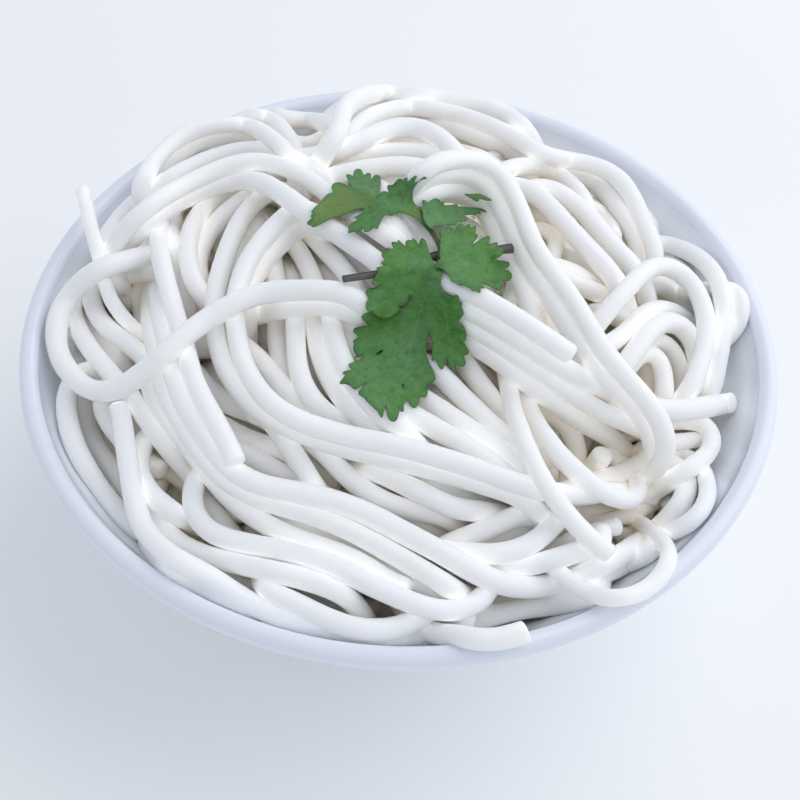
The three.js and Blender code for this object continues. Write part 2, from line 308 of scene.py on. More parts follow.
# ============================================================ the strands that show
# name: (which ends are cut and seen, [(x, y, level)...]), the level in strand
# diameters over (+) or under (-) the heap's own surface
# <strands>
STRANDS = {
    "loop": ("", [
        (-13.5, -5.9, 0.3), (-19.5, -5.6, 0.3), (-24.3, -5.4, 0.3), (-29.1, -5.3, 0.3), (-34.0, -5.5, 0.3),
        (-38.7, -7.1, 0.3), (-43.3, -9.7, 0.3), (-48.0, -12.3, 0.3), (-51.2, -14.9, 0.3),
        (-53.5, -16.8, 0.3), (-56.0, -21.5, 0.9), (-60.5, -25.0, 0.9), (-64.1, -26.7, 0.9),
        (-67.5, -27.5, 0.9), (-71.0, -27.0, 0.9), (-74.5, -24.9, 0.9), (-78.2, -21.2, 0.9),
        (-81.8, -16.6, 0.9), (-84.7, -11.6, 0.9), (-86.6, -6.2, 0.9), (-87.6, -1.1, 0.9),
        (-87.3, 3.5, 0.9), (-85.6, 6.9, 0.9), (-82.6, 9.3, 0.9), (-79.2, 11.2, 0.9), (-75.0, 11.4, 0.9),
        (-70.8, 12.9, 0.5), (-66.9, 14.9, -0.1), (-63.9, 16.9, -0.5), (-60.7, 18.2, -0.8),
    ]),
    "loop2": ("", [
        (-13.4, -7.7, -0.5), (-19.5, -7.0, -0.5), (-24.3, -7.2, -0.5), (-29.1, -7.8, -0.5),
        (-33.4, -8.9, -0.5), (-37.4, -9.9, -0.5), (-41.6, -10.3, -0.5),
    ]),
    "arc3": ("", [
        (-62.4, 11.9, -0.7), (-66.0, 12.1, -0.7), (-70.1, 12.4, -0.7), (-73.6, 13.2, -0.7),
        (-77.7, 16.4, -0.7),
    ]),
    "stick": ("c0", [
        (-85.1, 34.5, 3.4), (-84.2, 32.0, 3), (-82.3, 26.8, 2.5), (-80.4, 21.2, 1.9), (-78.9, 17.2, 1.3),
        (-77.7, 14.8, 0.7), (-76.7, 11.7, 0.2), (-75.5, 7.5, 0), (-73.5, 3.4, -0.2), (-69.8, -2.6, -0.2),
        (-65.7, -7.5, -0.3), (-62.1, -11.0, -0.4), (-59.2, -14.4, -0.6),
    ]),
    "a2": ("", [
        (-81.5, 14.5, -0.5), (-80.2, 7.8, -0.5), (-78.1, 2.8, -0.5), (-74.6, -2.8, -0.5),
        (-70.3, -7.7, -0.5), (-66.3, -11.5, -0.5), (-62.7, -15.0, -0.5), (-60.2, -18.3, -0.5),
    ]),
    "c1": ("", [
        (-85.6, 13.1, -0.3), (-85.9, 8.7, -0.3), (-84.1, 3.2, -0.3), (-81.6, -2.2, -0.3),
        (-78.0, -8.3, -0.3), (-74.1, -13.8, -0.3), (-69.8, -19.2, -0.3), (-65.4, -24.6, -0.3),
        (-61.2, -29.9, -0.3), (-57.6, -35.2, -0.3), (-53.5, -40.4, -0.3), (-49.7, -44.7, -0.35),
        (-46.5, -48.4, -0.4), (-44.2, -51.5, -0.5), (-41.9, -54.3, -0.7), (-39.6, -57.1, -0.9),
        (-37.2, -59.4, -1.1),
    ]),
    "d1": ("", [
        (-82.8, 12.8, -1.4), (-81.3, 6.8, -1.4), (-78.4, 0.5, -1.4), (-74.7, -5.1, -1.4),
        (-70.9, -9.7, -1.4),
    ]),
    "e1": ("", [
        (-87.4, 4.0, -1.7), (-85.1, -1.4, -1.7), (-81.7, -6.8, -1.7), (-78.1, -11.5, -1.7),
        (-74.0, -16.1, -1.7),
    ]),
    "w1": ("", [
        (-80.8, -13.5, -0.6), (-82.7, -16.0, -0.6), (-82.9, -19.5, -0.6), (-82.0, -23.6, -0.6),
        (-80.5, -28.2, -0.6), (-78.0, -33.5, -0.6), (-74.9, -38.5, -0.6), (-71.3, -43.7, -0.6),
        (-67.9, -48.1, -0.6), (-64.7, -51.9, -0.6), (-61.6, -55.6, -0.6), (-59.1, -58.3, -0.6),
    ]),
    "w2": ("", [
        (-77.6, -17.0, -1.5), (-78.2, -20.0, -1.5), (-77.3, -24.5, -1.5), (-75.2, -29.5, -1.5),
        (-72.1, -34.1, -1.5), (-68.6, -38.6, -1.5), (-65.3, -43.1, -1.5), (-62.7, -47.3, -1.5),
    ]),
    "ce1": ("c0", [
        (-66.3, -29.5, 0.1), (-64.6, -35.0, 0.1), (-63.3, -40.0, 0.1), (-62.0, -44.8, 0.1),
        (-60.7, -49.4, 0.1), (-59.5, -53.9, 0.1), (-57.6, -58.1, 0.1), (-54.7, -61.6, 0.1),
        (-51.0, -64.6, 0.1), (-47.1, -67.2, 0.1), (-42.9, -69.2, 0.1), (-38.8, -71.6, 0.1),
        (-34.8, -74.1, 0.1), (-30.8, -76.5, 0.1), (-26.6, -78.6, 0.1), (-21.6, -80.4, 0.1),
        (-16.7, -81.8, 0.1), (-11.6, -83.1, 0.15), (-6.5, -84.2, 0.25), (-0.8, -85.1, 0.4),
        (4.9, -85.4, 0.6), (10.0, -85.0, 0.8), (13.9, -83.8, 0.9),
    ]),
    "h": ("", [
        (-57.9, -36.1, -0.2), (-59.4, -38.2, -0.2), (-60.3, -41.0, -0.2), (-60.2, -44.2, -0.2),
        (-58.9, -47.6, -0.2), (-56.6, -50.6, -0.2), (-53.7, -53.0, -0.3), (-50.8, -54.9, -0.5),
        (-48.0, -56.1, -0.9),
    ]),
    "i": ("", [
        (-56.9, -50.9, -0.7), (-55.3, -54.0, -0.7), (-52.8, -57.6, -0.6), (-49.6, -60.9, -0.55),
        (-45.8, -63.3, -0.5), (-41.6, -65.3, -0.45), (-37.3, -66.8, -0.4), (-29.6, -69.0, -0.3),
        (-22.2, -70.9, -0.2), (-15.9, -72.8, -0.1), (-10.9, -74.8, 0), (-7.3, -76.6, 0),
        (-5.0, -78.5, -0.1), (-4.5, -80.2, -0.4),
    ]),
    "w3": ("", [
        (-72.5, -24.6, -0.6), (-71.3, -27.4, -0.6), (-69.5, -30.4, -0.6), (-67.1, -33.0, -0.6),
        (-65.2, -35.9, -0.6),
    ]),
    "bh1": ("", [
        (-64.1, -25.6, -1.6), (-61.7, -30.1, -1.6), (-60.9, -32.8, -1.6), (-62.4, -35.4, -1.6),
    ]),
    "f1": ("c1", [
        (-63.7, 43.9, -0.6), (-63.8, 34.5, -0.2), (-63.5, 25.7, 0.3), (-62.4, 16.9, 0.6),
        (-60.8, 10.0, 0.7), (-59.0, 4.2, 0.6), (-57.4, -0.4, 0.4), (-55.9, -4.6, 0.2), (-54.4, -8.9, 0.1),
        (-52.6, -13.5, 0.1), (-50.8, -18.4, 0.1), (-49.3, -23.1, 0.1), (-47.7, -27.4, 0.1),
        (-45.3, -31.9, 0.1), (-42.4, -36.5, 0.1), (-39.4, -41.3, 0.1), (-37.2, -44.9, 0.1),
        (-35.8, -48.1, 0.1),
    ]),
    "f2": ("", [
        (-60.5, 1.3, 0), (-59.1, -5.1, 0), (-57.2, -11.3, 0), (-55.6, -16.6, 0), (-54.0, -21.1, 0),
        (-52.5, -26.0, 0), (-50.0, -31.4, 0), (-46.8, -36.4, 0), (-43.2, -41.3, 0), (-39.8, -45.7, 0),
        (-36.0, -49.4, 0), (-31.4, -51.9, 0), (-26.0, -53.5, 0), (-21.0, -54.3, 0), (-16.0, -55.5, 0),
        (-10.7, -57.0, 0), (-5.0, -59.1, 0), (0.7, -61.8, 0), (6.3, -64.2, 0), (11.5, -66.3, 0),
        (16.5, -68.6, 0), (21.0, -70.4, 0), (25.5, -71.5, 0), (31.1, -71.5, 0), (36.8, -69.9, 0),
        (42.6, -67.1, 0), (48.5, -63.8, 0), (53.4, -60.3, 0), (57.9, -56.6, 0), (61.7, -53.2, 0),
        (65.4, -49.2, 0), (68.4, -45.1, 0), (70.2, -40.9, 0), (70.1, -37.9, 0),
    ]),
    "f3": ("", [
        (-62.7, 1.7, -0.1), (-62.0, -4.6, -0.1), (-60.8, -10.1, -0.1), (-58.8, -15.6, -0.1),
        (-57.1, -21.3, -0.1), (-56.0, -25.8, -0.1), (-53.5, -30.5, -0.1), (-50.6, -35.3, -0.1),
        (-46.9, -40.5, -0.1), (-42.9, -45.6, -0.1), (-38.8, -50.0, -0.1), (-34.3, -53.2, -0.1),
        (-29.6, -55.4, -0.1), (-24.2, -57.2, -0.1), (-18.5, -58.8, -0.1), (-12.8, -60.8, -0.1),
        (-7.1, -63.2, -0.1), (-1.4, -65.9, -0.1), (3.8, -68.4, -0.1), (8.8, -70.7, -0.1),
        (12.8, -72.7, -0.1),
    ]),
    "f4": ("", [
        (-60.0, -22.6, -0.3), (-58.2, -27.3, -0.3), (-55.2, -32.1, -0.3), (-51.5, -37.0, -0.3),
        (-47.6, -41.7, -0.3), (-43.8, -46.3, -0.3), (-40.4, -50.4, -0.3), (-37.1, -54.0, -0.3),
        (-33.2, -57.1, -0.3), (-29.3, -59.6, -0.3), (-25.1, -61.9, -0.3), (-20.5, -63.7, -0.3),
        (-15.4, -65.3, -0.3), (-10.2, -67.1, -0.3), (-5.0, -69.3, -0.3),
    ]),
    "f3b": ("", [
        (-29.5, -56.7, -0.3), (-24.2, -58.8, -0.3), (-18.8, -61.3, -0.3), (-13.3, -64.1, -0.3),
        (-7.8, -66.7, -0.3), (-2.3, -68.8, -0.3), (3.1, -70.6, -0.3), (7.5, -72.2, -0.3),
    ]),
    "j1": ("", [
        (-46.6, -48.7, -1), (-46.5, -52.7, -0.7), (-45.1, -56.8, -0.4), (-42.4, -60.2, -0.2),
        (-38.2, -62.7, -0.1), (-32.8, -64.2, -0.1), (-25.9, -65.8, -0.1), (-19.1, -67.4, -0.1),
        (-12.3, -69.5, -0.1), (-7.1, -71.9, -0.1), (-1.7, -74.2, -0.1), (3.7, -75.9, -0.1),
        (9.0, -77.4, -0.1), (13.9, -77.7, -0.1), (18.3, -76.4, -0.1), (21.1, -74.2, -0.1),
        (22.6, -71.4, -0.1),
    ]),
    "u2": ("", [
        (-26.7, -73.3, -0.6), (-21.3, -75.5, -0.5), (-17.9, -77.5, -0.4), (-14.0, -79.4, -0.2),
        (-9.5, -81.2, -0.1), (-5.0, -82.1, 0), (-0.2, -82.0, 0), (4.1, -80.9, 0), (7.8, -78.4, -0.2),
        (10.8, -75.8, -0.6),
    ]),
    "k2": ("", [
        (-56.8, -59.6, -0.7), (-54.0, -63.1, -0.7), (-51.1, -66.6, -0.7), (-47.3, -69.9, -0.7),
        (-42.3, -72.8, -0.7), (-36.6, -75.7, -0.7), (-30.5, -78.3, -0.7), (-24.9, -80.1, -0.7),
    ]),
    "m2b": ("", [
        (-43.8, -65.0, -1.7), (-37.7, -68.2, -1.7), (-31.7, -70.5, -1.7), (-24.8, -71.7, -1.7),
        (-17.9, -72.7, -1.7), (-11.0, -74.5, -1.7),
    ]),
    "u3": ("c1", [
        (4.3, -77.5, -0.9), (7.4, -81.5, 0.2), (11.2, -85.2, 1.6), (15.9, -87.3, 2.2), (20.8, -88.5, 2.7),
        (25.2, -88.1, 2.9), (28.6, -86.8, 2.9),
    ]),
    "u4": ("", [
        (13.8, -78.7, -1.2), (20.0, -76.7, -1.2), (26.0, -74.5, -1.2), (31.7, -72.8, -1.2),
        (37.5, -71.7, -1.2), (43.4, -69.9, -1.2), (48.9, -67.5, -1.2),
    ]),
    "u5": ("", [
        (39.8, -68.4, 0), (42.3, -72.0, 1), (45.1, -75.4, 2.2), (48.1, -77.8, 2.9), (51.8, -77.4, 3),
        (55.4, -75.5, 3), (58.4, -72.6, 3), (60.6, -68.9, 2.9), (61.7, -64.2, 2.4), (62.0, -57.9, 1),
        (60.7, -54.2, 0),
    ]),
    "u6": ("", [
        (18.3, -74.1, -1.8), (23.9, -71.8, -1.8), (29.6, -70.1, -1.8), (36.6, -69.0, -1.8),
        (43.7, -67.4, -1.8),
    ]),
    "u7": ("", [
        (48.5, -62.1, -1.8), (53.5, -59.8, -1.8), (58.5, -56.9, -1.8), (62.5, -53.4, -1.8),
    ]),
    "o1": ("", [
        (10.4, -64.3, -0.4), (16.5, -65.1, -0.4), (22.1, -65.0, -0.4), (27.8, -63.5, -0.4),
        (32.8, -60.5, -0.5), (36.4, -56.5, -0.7), (38.5, -52.9, -1),
    ]),
    "o2": ("", [
        (12.7, -62.5, -0.8), (16.7, -61.1, -0.8), (21.0, -59.0, -0.8), (25.1, -56.4, -0.9),
        (28.6, -54.2, -1),
    ]),
    "o3": ("", [
        (16.6, -61.7, -1.2), (22.3, -60.5, -1.2), (27.3, -58.2, -1.2), (31.0, -55.6, -1.2),
    ]),
    "o4": ("", [
        (19.9, -66.6, -0.5), (25.6, -66.9, -0.5), (31.3, -65.8, -0.5), (36.4, -64.0, -0.5),
        (41.3, -61.7, -0.5), (46.5, -59.3, -0.5),
    ]),
    "z1": ("c1", [
        (24.0, -17.2, -0.3), (25.2, -23.4, 0.2), (25.6, -28.1, 0.35), (26.5, -32.8, 0.35),
        (27.9, -37.4, 0.35), (29.8, -41.8, 0.35), (31.7, -45.6, 0.35), (34.0, -49.5, 0.35),
        (36.8, -53.0, 0.35), (39.8, -56.2, 0.35), (43.1, -58.8, 0.35), (46.4, -61.0, 0.35),
        (49.0, -62.1, 0.35),
    ]),
    "z2": ("", [
        (26.4, -16.8, -0.3), (28.4, -23.2, 0), (29.0, -28.0, 0.1), (30.4, -32.2, 0.1), (32.8, -36.4, 0.1),
        (36.1, -40.3, 0.1), (39.6, -43.6, 0.1), (43.4, -46.3, 0.1), (47.4, -48.4, 0.1), (51.8, -49.5, 0.1),
        (55.2, -49.3, 0.1), (57.3, -47.2, 0), (57.8, -44.0, -0.1), (56.6, -41.2, -0.4),
        (55.1, -38.5, -0.9),
    ]),
    "rq": ("", [
        (44.7, -49.2, -1.3), (48.3, -49.4, -1.3), (52.5, -49.1, -1.3), (56.8, -48.3, -1.3),
    ]),
    "rp": ("c1", [
        (41.3, -57.9, -1), (45.2, -55.9, -1), (48.8, -54.0, -1), (52.0, -52.7, -1),
    ]),
    "b1": ("c1", [
        (4.9, 40.3, 0.1), (11.0, 45.3, 0.1), (16.9, 47.9, 0.1), (22.0, 46.3, 0.1), (25.8, 40.2, 0.1),
        (28.7, 31.6, 0.1), (30.8, 23.4, 0.1), (32.6, 16.1, 0.1), (35.5, 10.4, 0.1), (39.1, 4.8, 0.1),
        (42.7, -0.7, 0.1), (45.8, -6.4, 0.1), (48.8, -11.8, 0.1), (52.5, -16.0, 0.1), (56.4, -19.7, 0.1),
        (60.4, -22.9, 0.1), (63.3, -26.9, 0.1), (64.8, -31.5, 0.1), (64.6, -35.6, 0.1), (62.5, -38.9, 0),
        (59.9, -40.8, -0.4), (58.3, -41.4, -0.7),
    ]),
    "b2": ("", [
        (3.7, 35.3, 0), (10.2, 39.4, 0), (15.5, 40.6, 0), (19.9, 38.0, 0), (23.5, 31.4, 0),
        (26.1, 23.3, 0), (28.5, 15.4, 0), (31.4, 8.3, 0), (35.0, 2.1, 0), (38.3, -3.7, 0), (41.7, -9.3, 0),
        (45.0, -14.3, 0), (49.1, -18.9, 0), (53.3, -22.5, 0), (57.2, -25.5, 0), (60.1, -28.7, 0),
        (61.5, -32.4, 0),
    ]),
    "b3": ("", [
        (6.3, 31.1, -0.1), (12.8, 34.3, -0.1), (17.2, 32.6, -0.1), (20.3, 27.1, -0.1), (22.8, 19.9, -0.1),
        (24.9, 13.2, -0.1), (27.1, 6.4, -0.1), (30.2, 0.7, -0.1),
    ]),
    "dg0": ("c1", [
        (6.8, 0.8, 0.1), (12.9, -1.6, 0.1), (19.0, -4.3, 0.1), (24.6, -7.2, 0.1), (30.4, -10.4, 0.1),
        (36.5, -13.8, 0.1), (41.9, -16.6, 0.1),
    ]),
    "dg1": ("", [
        (6.9, -3.4, 0), (13.0, -6.3, 0), (19.0, -9.2, 0), (25.1, -12.5, 0), (31.1, -15.7, 0),
        (37.2, -18.8, 0), (43.3, -21.3, 0), (49.5, -22.8, -0.1), (55.1, -22.6, -0.4),
    ]),
    "dg2": ("", [
        (8.2, -8.6, 0), (14.2, -11.4, 0), (20.2, -14.4, 0), (26.2, -17.8, 0), (32.2, -21.2, 0),
        (38.3, -24.6, 0), (44.3, -27.6, 0), (50.0, -29.4, 0), (55.6, -29.5, -0.2), (60.0, -28.9, -0.5),
    ]),
    "dg3": ("", [
        (10.7, -13.7, -0.1), (16.2, -16.3, -0.1), (21.5, -19.3, -0.1), (27.2, -22.9, -0.1),
        (33.4, -27.1, -0.1), (39.4, -30.4, -0.1), (45.5, -32.7, -0.2), (51.2, -33.2, -0.5),
    ]),
    "ra": ("", [
        (48.8, -2.3, -0.6), (52.1, 1.7, -0.1), (55.3, 6.0, 0.3), (59.3, 12.2, 0.4), (63.4, 18.2, 0.5),
        (67.4, 21.8, 0.7), (71.2, 22.3, 0.9), (74.3, 20.5, 1.1), (76.7, 16.7, 1.2), (78.0, 11.6, 1.2),
        (78.6, 6.7, 1.1), (78.3, 1.9, 0.8), (76.8, -3.5, 0.5), (74.9, -8.4, 0.1), (72.8, -13.7, -0.3),
    ]),
    "rc": ("", [
        (67.0, 36.2, -0.3), (73.0, 39.7, 0), (78.8, 39.6, 0.3), (82.3, 34.1, 0.7), (84.5, 27.2, 1.1),
        (84.9, 19.9, 1.4), (84.8, 14.0, 1.4), (83.4, 7.1, 1.3), (81.9, 0.8, 1), (80.8, -4.0, 0.6),
        (79.5, -9.3, 0.3), (78.4, -13.7, 0.1),
    ]),
    "rd2": ("", [
        (65.4, 20.3, -0.9), (69.5, 21.8, -0.9), (73.4, 21.8, -0.9), (76.6, 20.2, -0.9),
    ]),
    "re": ("", [
        (84.5, 19.7, 1.8), (86.1, 17.7, 2.4), (87.4, 14.7, 2.75), (87.9, 10.6, 2.75), (87.3, 6.7, 2.4),
        (85.6, 4.3, 1.7), (82.7, 2.1, 1),
    ]),
    "rf1": ("", [
        (51.4, -19.3, 0), (55.0, -14.3, 0), (58.2, -9.2, 0), (61.3, -3.4, 0), (64.7, 1.6, 0),
        (69.0, 5.1, 0), (72.8, 5.2, 0), (75.1, 2.5, 0), (76.0, -1.8, 0), (75.4, -7.5, 0), (73.7, -13.1, 0),
    ]),
    "rf2": ("", [
        (48.6, -10.4, -0.6), (53.3, -6.2, -0.6), (57.0, -1.5, -0.6), (60.8, 4.3, -0.6), (64.8, 9.0, -0.6),
        (69.4, 11.6, -0.6), (73.6, 11.6, -0.6), (76.6, 9.7, -0.6), (78.9, 6.2, -0.6),
    ]),
    "rg1": ("", [
        (54.5, -15.9, -0.6), (57.5, -10.9, -0.6), (60.7, -6.7, -0.6), (63.5, -5.0, -0.6),
        (65.6, -6.5, -0.6), (66.1, -10.2, -0.6), (66.1, -14.3, -0.6), (65.4, -19.3, -0.6),
    ]),
    "rg2": ("", [
        (63.4, -0.2, -0.9), (67.4, 0.7, -0.9), (70.0, -1.2, -0.9), (71.3, -5.3, -0.9), (71.2, -10.2, -0.9),
        (70.4, -15.8, -0.9),
    ]),
    "rg3": ("", [
        (61.0, -4.3, -1.8), (62.2, -7.5, -1.8), (62.7, -11.5, -1.8), (62.4, -16.2, -1.8),
    ]),
    "rh": ("c1", [
        (58.7, -23.3, -0.4), (63.6, -23.7, 0), (68.9, -22.2, 0.1), (74.7, -19.2, 0.1), (80.2, -15.6, 0.1),
        (85.4, -12.1, 0.1),
    ]),
    "ri1": ("", [
        (62.4, -26.0, -0.4), (68.5, -23.6, -0.4), (73.9, -21.4, -0.4), (77.3, -20.9, -0.4),
        (78.9, -22.9, -0.4), (78.3, -26.4, -0.4), (75.4, -30.5, -0.4), (71.3, -34.7, -0.4),
        (66.7, -39.0, -0.4), (62.4, -43.0, -0.4),
    ]),
    "ri2": ("", [
        (65.5, -29.3, -0.8), (69.9, -27.5, -0.8), (74.0, -25.6, -0.8), (76.9, -24.0, -0.8),
    ]),
    "rj": ("", [
        (73.1, -33.8, 0), (74.4, -37.8, 0.6), (74.7, -42.5, 1.1), (73.5, -47.2, 1.3), (71.2, -50.4, 1.1),
        (68.7, -51.6, 0.6), (65.2, -52.8, 0.1), (61.9, -53.6, -0.5),
    ]),
    "rl": ("", [
        (45.5, -45.0, -0.6), (49.2, -44.5, -0.2), (53.3, -42.4, -0.1), (57.8, -38.6, -0.2),
    ]),
    "ro": ("", [
        (31.4, -27.7, -0.9), (35.5, -28.9, -0.9), (39.4, -30.1, -0.9), (42.0, -32.8, -0.9),
        (42.9, -36.5, -0.9), (42.6, -40.0, -0.9),
    ]),
    "rn": ("c1", [
        (44.8, -43.7, -1), (46.4, -41.1, -0.8), (48.2, -38.5, -0.7), (49.6, -36.5, -0.6),
    ]),
    "rk": ("", [
        (55.7, -48.4, -1.2), (58.8, -46.7, -1.2), (62.0, -44.2, -1.2), (64.4, -41.6, -1.2),
        (66.7, -39.2, -1.2), (68.9, -36.9, -1.2),
    ]),
    "t1": ("", [
        (28.2, 41.6, -0.4), (33.1, 40.7, -0.4), (37.5, 36.5, -0.4), (41.3, 30.6, -0.4), (45.0, 25.3, -0.4),
        (48.8, 20.7, -0.4), (52.3, 16.7, -0.4), (55.3, 13.0, -0.4),
    ]),
    "t2": ("", [
        (37.4, 44.8, -0.3), (43.1, 42.3, -0.3), (47.8, 37.6, -0.3), (51.5, 31.5, -0.3), (55.2, 25.9, -0.3),
        (59.1, 22.0, -0.3), (61.9, 18.6, -0.3),
    ]),
    "t3": ("", [
        (48.1, 64.1, -0.5), (53.9, 63.5, -0.5), (57.5, 56.4, -0.5), (59.9, 47.3, -0.5), (62.0, 38.1, -0.5),
        (64.0, 30.5, -0.5),
    ]),
    "t4": ("", [
        (24.5, 45.0, -0.2), (28.8, 49.5, -0.2), (33.8, 53.4, -0.2), (38.7, 54.9, -0.2), (42.6, 53.3, -0.2),
        (45.7, 48.8, -0.2), (48.6, 43.1, -0.2),
    ]),
    "t5": ("", [
        (35.6, 32.9, -1.8), (39.1, 32.7, -1.8), (40.5, 28.1, -1.8), (39.1, 22.0, -1.8),
    ]),
    "t6": ("", [
        (36.7, 13.3, -0.6), (41.7, 12.5, -0.6), (46.9, 11.3, -0.6),
    ]),
    "t7": ("", [
        (41.6, 11.5, -1.1), (46.1, 10.3, -1.1), (50.6, 9.7, -1.1), (54.9, 9.4, -1.1),
    ]),
    "t8": ("", [
        (52.4, 6.9, -1.6), (55.9, 6.0, -1.6), (59.3, 4.5, -1.6),
    ]),
    "y1": ("", [
        (28.6, 20.6, -0.5), (28.9, 14.2, -0.5), (28.5, 8.0, -0.5), (27.7, 2.0, -0.5), (26.1, -3.6, -0.5),
    ]),
    "y2": ("", [
        (32.6, 11.9, -0.7), (32.2, 7.0, -0.7), (31.5, 2.1, -0.7), (30.4, -2.5, -0.7),
    ]),
    "y3": ("", [
        (35.0, 4.6, -0.8), (35.1, 0.5, -0.8), (35.7, -3.6, -0.8), (37.1, -7.7, -0.8),
    ]),
    "a1": ("", [
        (-80.4, 24.8, -0.1), (-79.5, 33.1, -0.1), (-76.9, 39.4, -0.1), (-72.9, 44.7, -0.1),
        (-67.6, 47.9, -0.1), (-61.9, 51.6, -0.1), (-55.7, 54.5, -0.1), (-48.8, 55.7, -0.1),
        (-41.6, 54.4, -0.1), (-34.8, 50.6, -0.1), (-28.9, 45.1, -0.1), (-23.1, 38.8, -0.1),
    ]),
    "ar2": ("", [
        (-77.7, 19.4, 0), (-75.6, 26.1, 0), (-72.0, 31.7, 0), (-67.7, 36.5, 0), (-62.3, 39.8, 0),
        (-56.1, 42.8, 0), (-49.6, 45.8, 0), (-42.9, 47.1, 0), (-35.8, 44.2, 0), (-28.9, 38.7, 0),
        (-22.8, 31.9, 0.1), (-17.5, 25.7, 0.1), (-11.9, 19.7, 0.1), (-5.4, 13.8, 0.1), (0.5, 8.3, 0.1),
        (5.5, 2.8, 0.1),
    ]),
    "ar3": ("", [
        (-75.2, 17.3, -0.2), (-72.7, 23.7, -0.2), (-68.7, 28.7, -0.2), (-64.1, 32.8, -0.2),
        (-58.7, 35.8, -0.2), (-52.8, 38.6, -0.2), (-46.7, 39.8, -0.2), (-40.6, 38.7, -0.2),
        (-35.4, 34.4, -0.2), (-30.4, 29.1, -0.2), (-25.5, 23.1, -0.1), (-19.8, 17.3, -0.1),
        (-14.2, 12.3, -0.1), (-8.8, 7.3, -0.1), (-3.5, 2.3, -0.1),
    ]),
    "q2": ("", [
        (-57.8, 39.3, -0.7), (-61.0, 36.4, -0.7), (-61.4, 29.9, -0.7), (-60.2, 22.5, -0.7),
        (-58.4, 15.5, -0.7), (-56.2, 9.3, -0.7), (-54.4, 3.6, -0.7), (-53.3, -1.0, -0.7),
    ]),
    "q3": ("", [
        (-42.2, 36.7, -0.2), (-48.1, 34.2, -0.2), (-52.3, 29.4, -0.2), (-54.4, 23.2, -0.2),
        (-54.8, 16.2, -0.2), (-53.8, 9.3, -0.2), (-51.7, 2.9, -0.2), (-48.8, -2.6, -0.2),
        (-45.3, -6.7, -0.2),
    ]),
    "q4": ("", [
        (-37.7, 35.8, -0.7), (-43.2, 32.1, -0.7), (-47.6, 26.5, -0.7), (-50.5, 20.2, -0.7),
        (-51.8, 14.0, -0.7), (-51.6, 8.1, -0.7), (-49.6, 2.8, -0.7),
    ]),
    "q5": ("", [
        (-33.9, 32.8, -0.1), (-37.9, 28.8, -0.1), (-41.0, 23.3, -0.1), (-42.8, 16.9, -0.1),
        (-43.9, 10.8, -0.1), (-44.8, 5.0, -0.1), (-45.2, -0.6, -0.1), (-45.4, -5.9, -0.1),
        (-44.9, -10.6, -0.1), (-43.9, -14.9, -0.1), (-42.8, -19.0, -0.1), (-40.9, -23.7, -0.1),
        (-38.3, -28.2, -0.1), (-34.8, -32.4, -0.1), (-30.8, -35.9, -0.1), (-26.2, -38.7, -0.1),
        (-20.7, -41.3, -0.1), (-14.9, -43.4, -0.1), (-7.9, -45.2, -0.1), (-0.6, -46.8, -0.1),
        (6.9, -48.2, -0.1), (14.4, -49.6, -0.1), (21.8, -50.8, -0.2), (27.9, -51.0, -0.5),
    ]),
    "q6": ("", [
        (-27.6, 23.5, 0), (-31.9, 17.8, 0), (-35.4, 12.2, 0), (-37.9, 6.5, 0), (-39.3, 0.9, 0),
        (-40.0, -4.4, 0), (-39.8, -9.7, 0), (-39.0, -14.5, 0), (-37.9, -19.1, 0), (-36.3, -23.7, 0),
        (-34.0, -28.2, 0), (-30.8, -32.3, 0), (-27.1, -35.7, 0), (-22.7, -38.2, 0), (-17.3, -40.2, 0),
        (-10.8, -42.1, 0), (-3.9, -43.3, 0), (2.9, -44.4, 0), (10.2, -46.0, 0), (17.6, -47.5, 0),
        (25.1, -49.3, 0), (32.1, -50.5, 0), (38.5, -50.3, -0.1), (44.7, -49.1, -0.2), (50.2, -46.3, -0.4),
    ]),
    "q7": ("", [
        (-24.8, 19.7, -0.5), (-28.0, 15.7, -0.3), (-31.3, 10.6, -0.2), (-34.4, 5.6, -0.2),
        (-36.4, 0.7, -0.2), (-37.6, -4.3, -0.2), (-37.0, -9.0, -0.2),
    ]),
    "v3": ("", [
        (-32.8, 9.7, -0.6), (-31.4, 4.6, -0.6), (-30.4, -1.7, -0.6), (-29.6, -7.7, -0.6),
        (-29.4, -13.3, -0.6), (-28.7, -18.8, -0.6), (-27.4, -23.6, -0.6), (-25.2, -27.7, -0.6),
        (-21.9, -31.6, -0.6),
    ]),
    "v4": ("", [
        (-25.2, -5.0, -0.6), (-25.0, -10.4, -0.3), (-24.8, -15.5, -0.2), (-24.2, -20.3, -0.2),
        (-23.4, -25.5, -0.2), (-21.7, -30.0, -0.2), (-19.1, -33.7, -0.2), (-15.7, -36.7, -0.2),
        (-11.4, -39.0, -0.2), (-6.3, -40.8, -0.2),
    ]),
    "x1": ("", [
        (-38.1, -16.2, -0.5), (-34.4, -20.0, -0.5), (-30.7, -23.9, -0.5), (-27.5, -27.9, -0.5),
        (-24.4, -31.5, -0.5), (-21.0, -34.5, -0.5),
    ]),
    "c0": ("", [
        (-28.4, 17.6, -1.3), (-25.7, 12.5, -1.3), (-23.3, 7.6, -1.3), (-21.4, 2.7, -1.3),
    ]),
    "c2": ("", [
        (-23.9, 17.1, -0.6), (-20.2, 11.2, -0.4), (-16.6, 6.0, -0.3), (-13.1, 1.2, -0.3),
        (-10.8, -2.6, -0.5),
    ]),
    "v5": ("", [
        (-21.2, -7.6, -0.9), (-20.3, -12.6, -0.7), (-19.5, -17.3, -0.6), (-18.0, -22.1, -0.6),
        (-15.9, -27.0, -0.6), (-12.6, -31.7, -0.6), (-8.9, -35.6, -0.6), (-4.8, -38.8, -0.6),
        (-0.6, -41.2, -0.6),
    ]),
    "v6": ("", [
